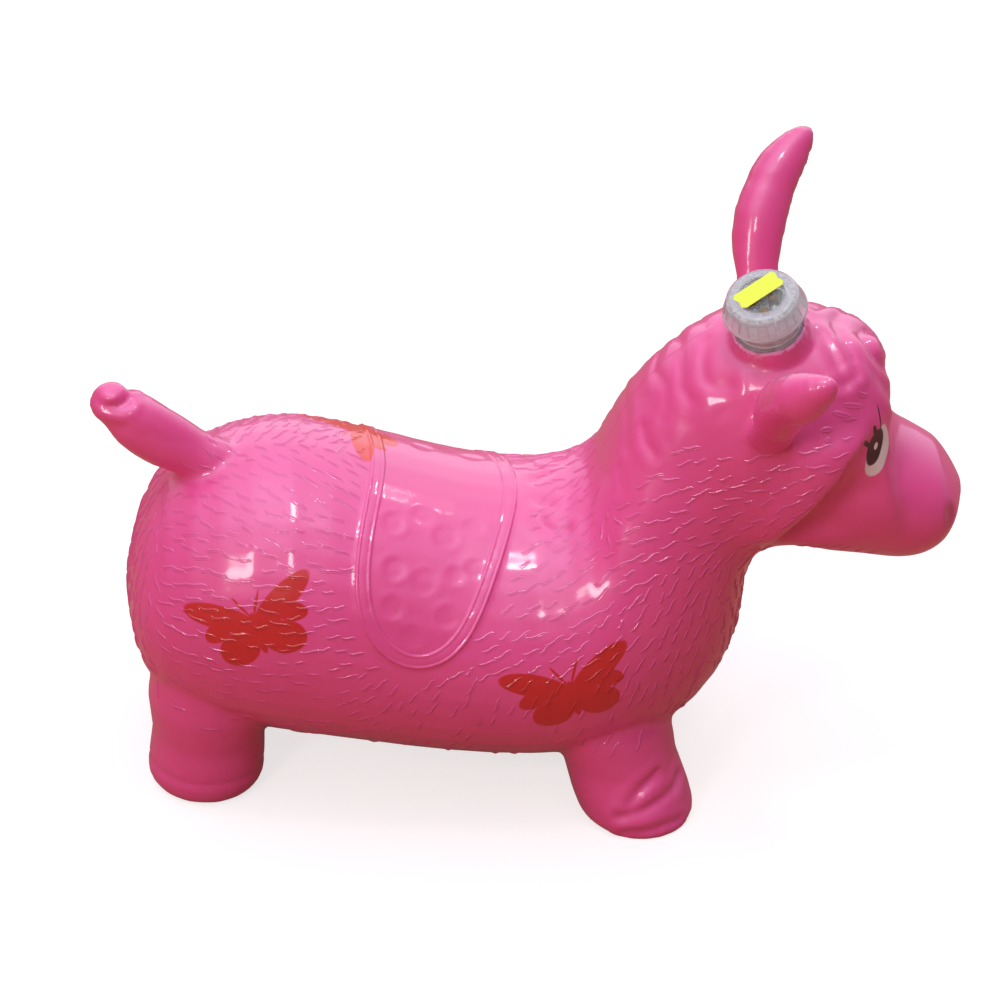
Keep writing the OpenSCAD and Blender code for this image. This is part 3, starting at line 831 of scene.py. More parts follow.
# The creases over the brow and cheek, as points x, y and z on the left side
CREASES = [
    [(182, 39, 295), (187, 39, 292), (191, 37, 292)],
    [(174, 45, 290), (179, 45, 289), (187, 42, 287)],
    [(168, 49, 287), (176, 49, 285), (182, 49, 283)],
    [(162, 55, 278), (170, 53, 278)],
    [(165, 56, 274), (169, 57, 271)],
]
# The mould's parting line in the middle plane: up the crest of the neck, and down the rump
PARTING_LINES = [
    [(36, 0, 222), (46, 0, 230), (64, 0, 254), (82, 0, 284), (100, 0, 306), (108, 0, 314)],
    [(-222, 0, 186), (-242, 0, 158), (-252, 0, 126), (-248, 0, 92), (-234, 0, 62)],
]


def saddle_line(skin, inset):
    """Points of a fine line this far inside the saddle's edge, outside the skin."""
    half = skin.saddle_half / MM - inset
    drop = math.degrees(skin.saddle_drop) - inset / ARC_PER_DEGREE
    turn = np.linspace(0, 2 * math.pi, SADDLE_LINE_POINTS, endpoint=False)
    around = drop * np.sign(np.sin(turn)) * np.sqrt(np.abs(np.sin(turn)))
    x = saddle_middle(np.abs(around), skin) + half * np.cos(turn)
    side, up = np.sin(np.radians(around)), np.cos(np.radians(around))
    return np.stack([x, SADDLE_LINE_REACH * side, TRUNK_AXIS_Z + SADDLE_LINE_REACH * up], axis=1)


def even_steps(line, step, closed):
    """The line's points laid again at even distances."""
    if closed:
        line = np.vstack([line, line[:1]])
    gone = np.concatenate([[0], np.cumsum(np.linalg.norm(np.diff(line, axis=0), axis=1))])
    count = max(int(gone[-1] / step), 4)
    stops = np.linspace(0, gone[-1], count, endpoint=not closed)
    return np.stack([np.interp(stops, gone, line[:, axis]) for axis in range(3)], axis=1)


def seam(surface, line, section, closed):
    """Vertices and faces of a narrow strip laid on a surface along a line of points in millimetres."""
    spots = [surface.find_nearest(Vector(point) * MM)[:2] for point in line]
    laid = even_steps(np.array([place for place, _ in spots]) / MM, SEAM_STEP, closed)
    verts = []
    for i, point in enumerate(laid):
        before = laid[i - 1] if closed or i else point
        after = laid[(i + 1) % len(laid)] if closed or i + 1 < len(laid) else point
        place, normal = surface.find_nearest(Vector(point) * MM)[:2]
        across = normal.cross(Vector(after - before)).normalized()
        t = 1 if closed else math.sqrt(max(1 - (2 * i / (len(laid) - 1) - 1) ** 2, 0.02))
        for offset, lift in section:
            foot, up = surface.find_nearest(place + across * offset * t * MM)[:2]
            verts.append(foot + up * (lift * t if lift > 0 else lift) * MM)
    return verts, grid_faces(len(laid), len(section), closed)


class HOPPER_OT_seams(bpy.types.Operator):
    """Lays the saddle's fine lines, the brow's creases and the mould's parting line on the skin"""

    bl_idname = "hopper.seams"
    bl_label = "Lay Seams"

    def execute(self, context):
        skin = context.scene.hopper_skin
        hide = bpy.data.objects["hide"]
        surface = BVHTree.FromObject(hide, context.evaluated_depsgraph_get())
        borders = []
        for inset in SADDLE_LINE_INSETS:
            outline = saddle_line(skin, inset)
            middle = outline * [1, 0, 0] + [0, 0, TRUNK_AXIS_Z]
            hits = [surface.ray_cast(Vector(a) * MM, Vector(b - a)) for a, b in zip(outline, middle)]
            borders.append((np.array([hit[0] for hit in hits]) / MM, BEAD_SECTION, True))
        self.lay("saddle_line", hide, surface, borders)
        creases = [
            (np.array(line) * [1, side, 1], CREASE_SECTION, False) for line in CREASES for side in (1, -1)
        ]
        self.lay("brow_creases", hide, surface, creases)
        partings = [(np.array(line), PARTING_SECTION, False) for line in PARTING_LINES]
        self.lay("parting_line", hide, surface, partings)
        return {"FINISHED"}

    def lay(self, name, hide, surface, lines):
        """One piece of strips on the skin."""
        verts, faces = [], []
        for line, section, closed in lines:
            strip, grid = seam(surface, line, section, closed)
            faces.extend([tuple(index + len(verts) for index in face) for face in grid])
            verts.extend(strip)
        mesh = smooth_mesh(name, verts, faces)
        mesh.materials.append(hide.data.materials[0])
        piece = place_mesh(name, mesh)
        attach(piece, "root")


# Light

# Across the rim of skin round the light's neck: radius and height in the light's frame, in millimetres.
# It is trimmed by hand, so what lies above its foot has waves: height, count and phase of each
RIM_SECTION = [(21.6, 2.4), (21.3, 3.8), (20.7, 4.5), (20.2, 4.3), (20.0, 3.6), (19.95, 0.0)]
RIM_STEPS = 96
RIM_WAVES = [(0.35, 7, 0), (0.3, 17, 1), (0.2, 31, 0)]
RIM_FOOT = 2
# The thread on the neck, with the steps of a turn and the sides of its ridge
NECK_RADIUS = 18.9 * MM
THREAD_FOOT = 6.6 * MM
THREAD_STEPS = 48
RIDGE_SIDES = 8
# The moulded mark on the cap: radius and height of each row, then across and out from it, in millimetres
MARK_ROWS = [(20.6, 30.2), (21.35, 29.6), (22.3, 26.5), (23.4, 23.2), (23.9, 21.6)]
MARK_SECTION = [(-0.5, -0.4), (-0.4, 0.3), (0, 0.45), (0.4, 0.3), (0.5, -0.4)]
# The ring of light-emitting diodes on their board, and radius and height of the cup that carries the die in one
LED_RING = 6.3 * MM
LED_FIRST = math.radians(-88)
LED_COUNT = 6
BOARD_TOP = 17.6 * MM
DIE_CUP = [(0.0, 1.6), (0.45, 1.6), (0.45, 3.6), (1.15, 5.0), (0.95, 5.0), (0.55, 4.3), (0.0, 4.3)]
CUP_SIDES = 8
CUP_WELD = 0.01 * MM


def turned_mesh(name, section, steps, waves=(), foot=0):
    """A shape turned round z from a section in millimetres, with waves in what is above its foot."""
    verts = []
    for step in range(steps):
        a = 2 * math.pi * step / steps
        wave = sum(rise * math.sin(count * a + phase) for rise, count, phase in waves)
        for radius, height in section:
            place = Vector((radius * math.cos(a), radius * math.sin(a), height + wave * (height > foot)))
            verts.append(place * MM)
    return smooth_mesh(name, verts, grid_faces(steps, len(section), True))


def thread_tree():
    """Geometry nodes that wind a rounded ridge round the neck."""
    tree = new_tree("screw_thread", [
        ("Turns", "Float"), ("Radius", "Float"), ("Height", "Float"), ("Ridge", "Float"),
        ("Finish", "Material"),
    ])
    given = add(tree, "NodeGroupInput").outputs
    path = add(tree, "GeometryNodeCurveSpiral", None, {
        "Resolution": THREAD_STEPS, "Rotations": given["Turns"], "Start Radius": given["Radius"],
        "End Radius": given["Radius"], "Height": given["Height"],
    })
    ridge = add(tree, "GeometryNodeCurvePrimitiveCircle", None, {
        "Resolution": RIDGE_SIDES, "Radius": given["Ridge"],
    })
    wound = add(tree, "GeometryNodeCurveToMesh", None, {
        "Curve": path.outputs["Curve"], "Profile Curve": ridge.outputs["Curve"], "Fill Caps": True,
    })
    finish_tree(tree, wound.outputs["Mesh"], given["Finish"])
    return tree


def cup_tree():
    """Geometry nodes that stand a die cup in each light-emitting diode."""
    tree = new_tree("die_cups", [
        ("Count", "Int"), ("Radius", "Float"), ("Cup", "Object"), ("Finish", "Material"),
    ])
    given = add(tree, "NodeGroupInput").outputs
    ring = add(tree, "GeometryNodeMeshCircle", None, {"Vertices": given["Count"], "Radius": given["Radius"]})
    cup = add(tree, "GeometryNodeObjectInfo", None, {"Object": given["Cup"]})
    stood = add(tree, "GeometryNodeInstanceOnPoints", None, {
        "Points": ring.outputs["Mesh"], "Instance": cup.outputs["Geometry"],
    })
    finish_tree(tree, stood.outputs["Instances"], given["Finish"])
    return tree


class HOPPER_OT_light(bpy.types.Operator):
    """Builds the small forms of the light: rim, thread, moulded mark and die cups"""

    bl_idname = "hopper.light"
    bl_label = "Detail Light"

    def execute(self, context):
        light = context.scene.hopper_light
        self.keep("neck_rim", self.rim(), bpy.data.materials["soft_pvc"], "root", "soft_pvc")
        frost = bpy.data.materials["frosted_polypropylene"]
        height = light.thread_turns * THREAD_LEAD
        thread = grown(
            "neck_thread", bpy.data.meshes.new("thread"), thread_tree(), Turns=light.thread_turns,
            Radius=NECK_RADIUS, Height=height, Ridge=light.thread_ridge, Finish=frost,
        )
        thread.data.transform(LIGHT_FRAME @ Matrix.Translation((0, 0, THREAD_FOOT)))
        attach(thread, "root")
        self.keep("cap_mark", self.mark(light.mark_turn), frost, "light_cap", "frosted_polypropylene")
        template = place_mesh("cup", self.die_cup())
        cups = grown(
            "die_cups", bpy.data.meshes.new("cups"), cup_tree(), Count=LED_COUNT, Radius=LED_RING,
            Cup=template, Finish=bpy.data.materials["nickel_plated_steel"],
        )
        bpy.data.objects.remove(template)
        cups.data.transform(
            LIGHT_FRAME @ Matrix.Translation((0, 0, BOARD_TOP)) @ Matrix.Rotation(LED_FIRST, 4, "Z")
        )
        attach(cups, "root")
        return {"FINISHED"}

    def keep(self, name, mesh, finish, body, slot):
        """Places a finished mesh as a piece on its body."""
        mesh.materials.append(finish)
        piece = place_mesh(name, mesh)
        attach(piece, body)

    def rim(self):
        """The lip of skin round the neck, with an uneven edge."""
        mesh = turned_mesh("neck_rim", RIM_SECTION, RIM_STEPS, RIM_WAVES, RIM_FOOT)
        mesh.transform(LIGHT_FRAME)
        return mesh

    def mark(self, turn):
        """A low upright rib on the shoulder and skirt of the cap."""
        verts = [
            Vector((radius + out, across, height)) * MM
            for radius, height in MARK_ROWS for across, out in MARK_SECTION
        ]
        faces = grid_faces(len(MARK_ROWS), len(MARK_SECTION), False)
        mesh = smooth_mesh("cap_mark", verts, [face[::-1] for face in faces])
        mesh.transform(LIGHT_FRAME @ Matrix.Rotation(turn, 4, "Z"))
        return mesh

    def die_cup(self):
        """One die cup on its post, upright at the origin."""
        mesh = turned_mesh("die_cup", DIE_CUP, CUP_SIDES)
        shape = bmesh.new()
        shape.from_mesh(mesh)
        bmesh.ops.remove_doubles(shape, verts=shape.verts, dist=CUP_WELD)
        bmesh.ops.recalc_face_normals(shape, faces=shape.faces)
        shape.to_mesh(mesh)
        shape.free()
        return mesh


class HOPPER_OT_fittings(bpy.types.Operator):
    """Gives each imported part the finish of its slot"""

    bl_idname = "hopper.fittings"
    bl_label = "Finish Fittings"

    def execute(self, context):
        finishes = {name: grained(name, *look) for name, look in FITTING_FINISHES.items()}
        finishes["soft_pvc"] = bpy.data.materials["soft_pvc"]
        for part in frame["record"]["subparts"]:
            NODES[part["node"]].active_material = finishes[part["material_slot"]]
        return {"FINISHED"}


# Materials


def linear(colour):
    """An sRGB colour, as a hex string or as three values from 0 to 1, turned to linear."""
    if isinstance(colour, str):
        colour = [int(colour[i:i + 2], 16) / 255 for i in (1, 3, 5)]
    return [c / 12.92 if c <= 0.04045 else ((c + 0.055) / 1.055) ** 2.4 for c in colour] + [1.0]


def add(tree, kind, settings=None, inputs=None):
    """Adds a node with its settings, and with its inputs set or linked."""
    node = tree.nodes.new(kind)
    for key, value in (settings or {}).items():
        setattr(node, key, value)
    for key, value in (inputs or {}).items():
        if isinstance(value, bpy.types.NodeSocket):
            tree.links.new(value, node.inputs[key])
        else:
            node.inputs[key].default_value = value
    return node


def new_material(name):
    """An empty material with its node tree and the Object coordinates in it."""
    mat = bpy.data.materials.new(name)
    mat.use_nodes = True
    mat.node_tree.nodes.clear()
    return mat, mat.node_tree, add(mat.node_tree, "ShaderNodeTexCoord").outputs["Object"]


def finish_material(tree, **inputs):
    """Ends a material with a surface whose sockets have these values or links, with _ for a space."""
    sockets = {key.replace("_", " "): value for key, value in inputs.items()}
    shader = add(tree, "ShaderNodeBsdfPrincipled", None, sockets)
    add(tree, "ShaderNodeOutputMaterial", None, {"Surface": shader.outputs["BSDF"]})


def grained(name, low, high, size, stretch, rough, bump, inputs):
    """A material whose colour, roughness and height vary with one grain of this size in millimetres."""
    mat, tree, place = new_material(name)
    drawn = add(tree, "ShaderNodeMapping", None, {"Vector": place, "Scale": stretch})
    grain = add(tree, "ShaderNodeTexNoise", None, {
        "Vector": drawn.outputs["Vector"], "Scale": 1 / (size * MM), "Detail": 3.0,
    }).outputs[0]
    tone = add(tree, "ShaderNodeMix", {"data_type": "RGBA"}, {0: grain, 6: linear(low), 7: linear(high)})
    gloss = add(tree, "ShaderNodeMapRange", None, {"Value": grain, "To Min": rough[0], "To Max": rough[1]})
    relief_of = add(tree, "ShaderNodeBump", None, {"Height": grain, "Distance": bump * MM, "Strength": 0.6})
    finish_material(
        tree, Base_Color=tone.outputs[2], Roughness=gloss.outputs[0], Normal=relief_of.outputs[0], **inputs
    )
    return mat


# Prints: middle of each butterfly, the directions out of the skin and to its right, and half its span.
# Those on the sides are drawn on the left side, and mirrored
SIDE_PRINTS = [
    ((-157, 90, 150), (-0.12, 0.93, 0.33), (1, 0, 0.42), 39),
    ((29.3, 95.5, 112.8), (0.12, 0.99, 0.02), (1, 0, 0.32), 39),
]
BACK_PRINT = ((-101, 36, 206), (0.2, 0.3, 0.93), (0.6, -0.8, 0), 34)
# Half of a butterfly in half spans: middle, radii and turn of each ellipse
BUTTERFLY = [
    ((0.50, 0.28), (0.57, 0.19), 28), ((0.58, 0.06), (0.25, 0.15), -20), ((0.36, -0.29), (0.33, 0.27), -15),
    ((0.17, 0.02), (0.24, 0.2), 20), ((0, -0.12), (0.08, 0.34), 0), ((0.12, 0.34), (0.2, 0.022), 62),
]
PRINT_DEPTH = 1.1
# How soft the edge of ink and paint is, and the edge of the darker pink over a nostril's dent, as shares of its
# shape's radius
PAINT_EDGE = 0.04
TINT_EDGE = 0.4
# The eye's plane on the left side: middle, right and up; then its layers of paint in millimetres
EYE_PLANE = ((199.2, 46.4, 258.9), (0.8287, -0.4953, -0.2614), (0.0614, -0.3837, 0.921))
EYE_BALL = [((0.9, -0.4), (7.6, 16.2), 0)]
EYE_DARKS = [
    ((-2.2, 2.2), (5.3, 11.8), 0), ((-9.6, 4.6), (4.6, 1.5), 149), ((-5.8, 12.2), (4.4, 1.35), 117),
    ((-2.8, 19.4), (8.6, 0.6), 102),
]
EYE_GLINT = [((-1.4, 2.8), (1.3, 2.3), 0)]
EYE_DEPTH = 30


def folded(tree, vector, axis):
    """The vector with one axis made positive."""
    parts = add(tree, "ShaderNodeSeparateXYZ", None, {0: vector})
    whole = add(tree, "ShaderNodeMath", {"operation": "ABSOLUTE"}, {0: parts.outputs[axis]}).outputs[0]
    joined = {i: whole if i == axis else parts.outputs[i] for i in range(3)}
    return add(tree, "ShaderNodeCombineXYZ", None, joined).outputs[0]


def in_plane(tree, place, middle, right, up, unit):
    """The place measured in a plane, in this unit of millimetres."""
    turn = Matrix((right, up, right.cross(up))).transposed().to_euler()
    return add(tree, "ShaderNodeMapping", {"vector_type": "TEXTURE"}, {
        "Vector": place, "Location": Vector(middle) * MM, "Rotation": turn, "Scale": (unit * MM,) * 3,
    }).outputs[0]


def painted(tree, place, ellipses, depth, edge=PAINT_EDGE):
    """1 inside any of these ellipses of a plane, and 0 outside them or further than the depth from it."""
    nearest = None
    for (across, along), (wide, high), turn in ellipses:
        fitted = add(tree, "ShaderNodeMapping", {"vector_type": "TEXTURE"}, {
            "Vector": place, "Location": (across, along, 0), "Rotation": (0, 0, math.radians(turn)),
            "Scale": (wide, high, depth),
        })
        length = add(tree, "ShaderNodeVectorMath", {"operation": "LENGTH"}, {0: fitted.outputs[0]})
        apart = length.outputs["Value"]
        if nearest is not None:
            apart = add(tree, "ShaderNodeMath", {"operation": "MINIMUM"}, {0: nearest, 1: apart}).outputs[0]
        nearest = apart
    return add(tree, "ShaderNodeMapRange", None, {
        "Value": nearest, "From Min": 1 + edge, "From Max": 1 - edge,
    }).outputs[0]


def butterfly(tree, place, middle, outward, rightward, half_span):
    """1 inside a butterfly on the skin."""
    normal, right = Vector(outward).normalized(), Vector(rightward)
    right = (right - normal * right.dot(normal)).normalized()
    flat = in_plane(tree, place, middle, right, right.cross(normal), half_span)
    return painted(tree, folded(tree, flat, 0), BUTTERFLY, PRINT_DEPTH)


# Distance between the skin's slow changes of tone, as in a thick plastisol, and between the bumps of the tool's
# fine orange peel, with their height, in millimetres
CLOUD_SPACING = 71.4
PEEL_SPACING = 3.03
PEEL_HEIGHT = 0.12
# The deep tone's share of the skin's colour, the pale tone's share and what is added to it
DEEP_SHARES = (0.97, 0.9, 0.93)
PALE_SHARE = 1.05
PALE_LIFT = 0.01
# A darker pink laid with a soft edge over each nostril's dent
NOSTRIL_TINT = "#CC4A78"


def soft_pvc(skin):
    """Soft PVC, slush-moulded in a polished tool: even, glossy and a little translucent, with ink and paint."""
    mat, tree, place = new_material("soft_pvc")
    sides = folded(tree, place, 1)
    cloud, peel = (
        add(tree, "ShaderNodeTexNoise", None, {
            "Vector": place, "Scale": 1 / (spacing * MM), "Detail": detail,
        }).outputs[0]
        for spacing, detail in ((CLOUD_SPACING, 2.0), (PEEL_SPACING, 1.0))
    )
    pale = [min(c * PALE_SHARE + PALE_LIFT, 1) for c in skin.pvc_colour]
    deep = [c * share for c, share in zip(skin.pvc_colour, DEEP_SHARES)]
    tone = add(tree, "ShaderNodeMix", {"data_type": "RGBA"}, {
        0: cloud, 6: linear(deep), 7: linear(pale),
    }).outputs[2]
    # Darker pink over each nostril's dent
    nostril = in_plane(tree, sides, NOSTRIL, Vector((1, 0, 0)), Vector((0, 1, 0)), 1)
    tint = painted(tree, nostril, [((0, 0), NOSTRIL_RADII[:2], 0)], NOSTRIL_RADII[2], TINT_EDGE)
    eye = in_plane(tree, sides, *map(Vector, EYE_PLANE), 1)
    layers = [(tint, linear(NOSTRIL_TINT))]
    layers += [(butterfly(tree, sides, *spot), linear(skin.print_colour)) for spot in SIDE_PRINTS]
    layers.append((butterfly(tree, place, *BACK_PRINT), linear(skin.back_print_colour)))
    for shapes, colour in (
        (EYE_BALL, skin.eye_white), (EYE_DARKS, skin.eye_dark), (EYE_GLINT, skin.eye_white),
    ):
        layers.append((painted(tree, eye, shapes, EYE_DEPTH), linear(colour)))
    for cover, colour in layers:
        tone = add(tree, "ShaderNodeMix", {"data_type": "RGBA"}, {0: cover, 6: tone, 7: colour}).outputs[2]
    gloss = add(tree, "ShaderNodeMapRange", None, {"Value": cloud, "To Min": 0.36, "To Max": 0.46})
    skin_relief = add(tree, "ShaderNodeBump", None, {
        "Height": peel, "Distance": PEEL_HEIGHT * MM, "Strength": 0.5,
    })
    finish_material(
        tree, Base_Color=tone, Roughness=gloss.outputs[0], Normal=skin_relief.outputs[0], IOR=1.53,
        Specular_IOR_Level=0.5, Coat_Weight=0.9, Coat_Roughness=0.11, Coat_IOR=1.5,
        Subsurface_Weight=0.15, Subsurface_Radius=(1.0, 0.22, 0.28), Subsurface_Scale=3 * MM,
    )
    return mat


# Plain finishes: two colours, size and stretch of the grain, roughness, height of the grain in millimetres, and
# what is the same all over. The real grain is finer on most: it is drawn as coarse as it needs to show
EVEN = (1, 1, 1)
FITTING_FINISHES = {
    # Polypropylene moulded in a grit-blasted tool: milky, and blurs what lies behind it
    "frosted_polypropylene": (
        "#F4F6F8", "#FDFDFE", 4, EVEN, (0.12, 0.2), 0.04, {"IOR": 1.46, "Transmission_Weight": 0.74},
    ),
    # Polished acrylic: clear, with faint wipe marks
    "clear_acrylic": (
        "#F4F8F8", "#FFFFFF", 6, (1, 6, 1), (0.02, 0.07), 0.01, {"IOR": 1.49, "Transmission_Weight": 1.0},
    ),
    # Moulded silicone rubber: matt and chalky
    "seal_rubber": ("#D8D8D2", "#EAEAE4", 1.5, EVEN, (0.6, 0.75), 0.03, {"IOR": 1.41}),
    # Paper laminate under solder mask: a slight weave and a soft sheen
    "board_laminate": ("#E0E2D4", "#EEEEE4", 1.2, (1, 3, 1), (0.35, 0.5), 0.03, {"IOR": 1.5}),
    # Cast amber epoxy: clear and deep, glossy as the polished mould
    "amber_epoxy": (
        "#C8801C", "#DB9A2C", 3, EVEN, (0.03, 0.08), 0.005, {"IOR": 1.54, "Transmission_Weight": 0.4},
    ),
    # Water-clear cast epoxy: glossy, with a slight grey from its lead frame
    "clear_epoxy": (
        "#F0F0EA", "#FFFFFF", 3, EVEN, (0.03, 0.08), 0.005, {"IOR": 1.54, "Transmission_Weight": 0.95},
    ),
    # A drop of black epoxy: glossy, with a faint sag
    "black_epoxy": ("#0C0C0D", "#1B1B1D", 2, EVEN, (0.15, 0.3), 0.05, {"IOR": 1.55}),
    # Glazed chip: dark, with a fine speckle
    "resistor_ceramic": ("#2A2A2E", "#45454A", 0.5, EVEN, (0.3, 0.5), 0.02, {"IOR": 1.6}),
    # Barrel-plated steel: bright, with fine rub marks along it
    "nickel_plated_steel": ("#B4B2AC", "#D6D4CE", 0.8, (1, 1, 8), (0.18, 0.34), 0.01, {"Metallic": 1.0}),
    # Rolled brass: warm, with the lines of the rolls
    "brass_strip": ("#B28A3E", "#D3AE60", 0.7, (1, 8, 1), (0.22, 0.38), 0.01, {"Metallic": 1.0}),
    # ABS moulded in a spark-eroded tool: an even matt grain
    "tray_abs": ("#DED9CB", "#EEE9DC", 0.9, EVEN, (0.45, 0.6), 0.03, {"IOR": 1.53}),
    # Moulded polyethylene: waxy, with slow flow marks
    "plug_polyethylene": ("#E8E8E4", "#F6F6F2", 5, EVEN, (0.35, 0.5), 0.05, {"IOR": 1.51}),
    # Moulded nylon: satin, with a fine grain
    "switch_nylon": ("#2C5F48", "#3D7A5E", 0.8, EVEN, (0.4, 0.55), 0.02, {"IOR": 1.53}),
    # Fluorescent coated paper: bright and flat, with short fibres under the coat
    "label_paper": ("#DDF53A", "#EBFF55", 0.8, (1, 4, 1), (0.55, 0.75), 0.03, {"IOR": 1.45}),
}


# Stage

CAMERA_TARGET = (-14.5 * MM, 8.3 * MM, 175.2 * MM)
# Name, place, aim, size, power and colour of each lamp
STUDIO_LIGHTS = [
    ("window", (-0.15, -1.62, 1.75), (0, 0, 0.15), (0.3, 0.35), 4, "#FFFAF6"),
    ("side_window", (-1.2, -1.65, 1.4), (0, 0, 0.15), (0.4, 0.8), 11, "#FFFAF6"),
    ("top_window", (0.1, -0.3, 2.2), (0, 0, 0.15), (0.3, 0.3), 5, "#FFFFFF"),
    ("back_window", (0.9, 1.0, 1.8), (0, 0, 0.15), (0.15, 0.2), 2.5, "#FFFFFF"),
]
# Colour and strength of the soft light from all round; then the direction of each soft patch of it, how tight
# the patch is, and its colour and strength: overhead, the white sheet behind, and a warm wall
DOME_SIDES = ("#FFA090", 0.12)
DOME_PATCHES = [
    ((-0.2, -0.05, 0.97), 6.0, "#D2DFFF", 2.9),
    ((0.1, 0.93, 0.34), 2.4, "#F2EEFF", 1.6),
    ((-0.85, -0.5, 0.15), 2.0, "#FFA090", 0.27),
]
# The floor's half width, the paper's two tones, its tooth in millimetres, drawn coarse enough to show, its glow,
# and the colour that it throws on the object
FLOOR_HALF = 6
PAPER_TONES = ("#A8A29C", "#B0AAA4")
PAPER_TOOTH = 1.43
PAPER_GLOW = "#DADADA"
FLOOR_BOUNCE = "#AC6450"
# How much of the white background shows in gloss
GLOSS_SHARE = 0.06


def background_share(tree):
    """1 for a ray that sees the background straight or through glass, and a small share for one in gloss."""
    path = add(tree, "ShaderNodeLightPath").outputs
    in_gloss = add(tree, "ShaderNodeMath", {"operation": "MULTIPLY"}, {
        0: path["Is Glossy Ray"], 1: GLOSS_SHARE,
    })
    seen = add(tree, "ShaderNodeMath", {"operation": "MAXIMUM"}, {
        0: path["Is Camera Ray"], 1: path["Is Transmission Ray"],
    })
    return add(tree, "ShaderNodeMath", {"operation": "MAXIMUM"}, {
        0: seen.outputs[0], 1: in_gloss.outputs[0],
    }).outputs[0]


def floor_paper():
    """White paper with a faint tooth, on a light table: white with shadows, and warm in what it reflects."""
    mat, tree, place = new_material("floor_paper")
    tooth = add(tree, "ShaderNodeTexNoise", None, {
        "Vector": place, "Scale": 1 / (PAPER_TOOTH * MM), "Detail": 2.0,
    }).outputs[0]
    deep, pale = map(linear, PAPER_TONES)
    tone = add(tree, "ShaderNodeMix", {"data_type": "RGBA"}, {0: tooth, 6: deep, 7: pale})
    paper = add(tree, "ShaderNodeBsdfDiffuse", None, {"Color": tone.outputs[2]})
    glow = add(tree, "ShaderNodeEmission", None, {"Color": linear(PAPER_GLOW), "Strength": 1.0})
    seen = add(tree, "ShaderNodeAddShader", None, {0: paper.outputs[0], 1: glow.outputs[0]})
    bounce = add(tree, "ShaderNodeBsdfDiffuse", None, {"Color": linear(FLOOR_BOUNCE)})
    both = add(tree, "ShaderNodeMixShader", None, {
        0: background_share(tree), 1: bounce.outputs[0], 2: seen.outputs[0],
    })
    add(tree, "ShaderNodeOutputMaterial", None, {"Surface": both.outputs[0]})
    return mat


def studio_world():
    """A white sheet all round, which lights the object as soft patches above and behind, and warm sides."""
    world = bpy.data.worlds.new("studio")
    world.use_nodes = True
    tree = world.node_tree
    tree.nodes.clear()
    ray = add(tree, "ShaderNodeTexCoord").outputs["Generated"]
    colour, strength = DOME_SIDES
    light = add(tree, "ShaderNodeBackground", None, {"Color": linear(colour), "Strength": strength})
    for axis, tight, colour, strength in DOME_PATCHES:
        along = add(tree, "ShaderNodeVectorMath", {"operation": "DOT_PRODUCT"}, {0: ray, 1: axis})
        within = add(tree, "ShaderNodeMath", {"operation": "MAXIMUM"}, {
            0: along.outputs["Value"], 1: 0.0,
        }).outputs[0]
        share = add(tree, "ShaderNodeMath", {"operation": "POWER"}, {0: within, 1: tight}).outputs[0]
        level = add(tree, "ShaderNodeMath", {"operation": "MULTIPLY"}, {0: share, 1: strength}).outputs[0]
        patch = add(tree, "ShaderNodeBackground", None, {"Color": linear(colour), "Strength": level})
        light = add(tree, "ShaderNodeAddShader", None, {0: light.outputs[0], 1: patch.outputs[0]})
    sheet = add(tree, "ShaderNodeBackground", None, {"Color": (1, 1, 1, 1), "Strength": 1.0})
    both = add(tree, "ShaderNodeMixShader", None, {
        0: background_share(tree), 1: light.outputs[0], 2: sheet.outputs[0],
    })
    add(tree, "ShaderNodeOutputWorld", None, {"Surface": both.outputs[0]})
    return world


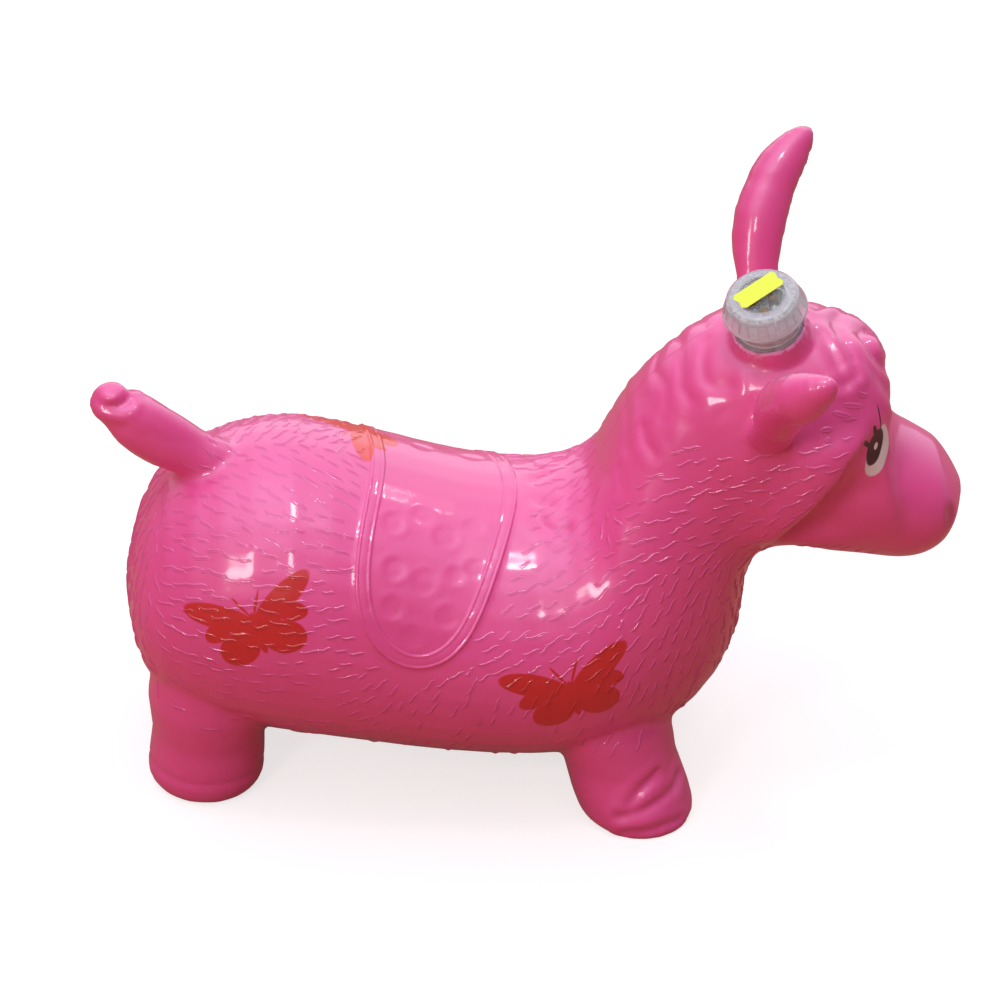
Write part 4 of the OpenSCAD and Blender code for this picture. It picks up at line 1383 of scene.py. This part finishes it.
class HOPPER_OT_stage(bpy.types.Operator):
    """Sets the floor, the lights and the camera"""

    bl_idname = "hopper.stage"
    bl_label = "Set Stage"

    def execute(self, context):
        scene = context.scene
        scene.view_settings.view_transform = "Standard"
        corners = [(x * FLOOR_HALF, y * FLOOR_HALF, 0) for x, y in ((-1, -1), (1, -1), (1, 1), (-1, 1))]
        floor_mesh = smooth_mesh("floor", corners, [(0, 1, 2, 3)])
        floor_mesh.materials.append(floor_paper())
        place_mesh("floor", floor_mesh)
        scene.world = studio_world()
        for name, place, aim, size, power, colour in STUDIO_LIGHTS:
            lamp = bpy.data.lights.new(name, "AREA")
            lamp.shape = "ELLIPSE"
            lamp.size, lamp.size_y = size
            lamp.energy = power
            lamp.color = linear(colour)[:3]
            stand = bpy.data.objects.new(name, lamp)
            scene.collection.objects.link(stand)
            stand.location = place
            stand.rotation_euler = (Vector(aim) - Vector(place)).to_track_quat("-Z", "Y").to_euler()
        self.set_camera(scene, scene.hopper_stage)
        return {"FINISHED"}

    def set_camera(self, scene, stage):
        """A camera that stands where the photograph's did, level with its turn."""
        a, e, turn = stage.azimuth, stage.elevation, stage.roll
        back = Vector((math.sin(a) * math.cos(e), -math.cos(a) * math.cos(e), math.sin(e)))
        right = Vector((math.cos(a), math.sin(a), 0))
        up = back.cross(right)
        right, up = right * math.cos(turn) + up * math.sin(turn), up * math.cos(turn) - right * math.sin(turn)
        lens = bpy.data.cameras.new("camera")
        lens.sensor_width = 36
        lens.lens = lens.sensor_width * stage.distance / stage.frame_width
        camera = bpy.data.objects.new("camera", lens)
        scene.collection.objects.link(camera)
        place = Matrix((right, up, back)).transposed().to_4x4()
        place.translation = Vector(CAMERA_TARGET) + back * stage.distance
        camera.matrix_world = place
        scene.camera = camera


class HOPPER_PT_panel(bpy.types.Panel):
    """Lists the hopper's pieces in the sidebar"""

    bl_idname = "HOPPER_PT_panel"
    bl_label = "Animal Hopper"
    bl_space_type = "VIEW_3D"
    bl_region_type = "UI"
    bl_category = "Hopper"

    def draw(self, context):
        for operator in OPERATORS:
            self.layout.operator(operator.bl_idname)


OPERATORS = [
    HOPPER_OT_skin, HOPPER_OT_hair, HOPPER_OT_seams, HOPPER_OT_fittings, HOPPER_OT_light, HOPPER_OT_stage,
]
SETTINGS = {
    "hopper_skin": HopperSkinSettings,
    "hopper_light": HopperLightSettings,
    "hopper_stage": HopperStageSettings,
}
CLASSES = [*SETTINGS.values(), *OPERATORS, HOPPER_PT_panel]


def register():
    for cls in CLASSES:
        bpy.utils.register_class(cls)
    for name, group in SETTINGS.items():
        setattr(bpy.types.Scene, name, PointerProperty(type=group))


def unregister():
    for name in SETTINGS:
        delattr(bpy.types.Scene, name)
    for cls in reversed(CLASSES):
        bpy.utils.unregister_class(cls)


def main():
    register()
    for operator in OPERATORS:
        group, name = operator.bl_idname.split(".")
        getattr(getattr(bpy.ops, group), name)()


if __name__ == "__main__":
    main()
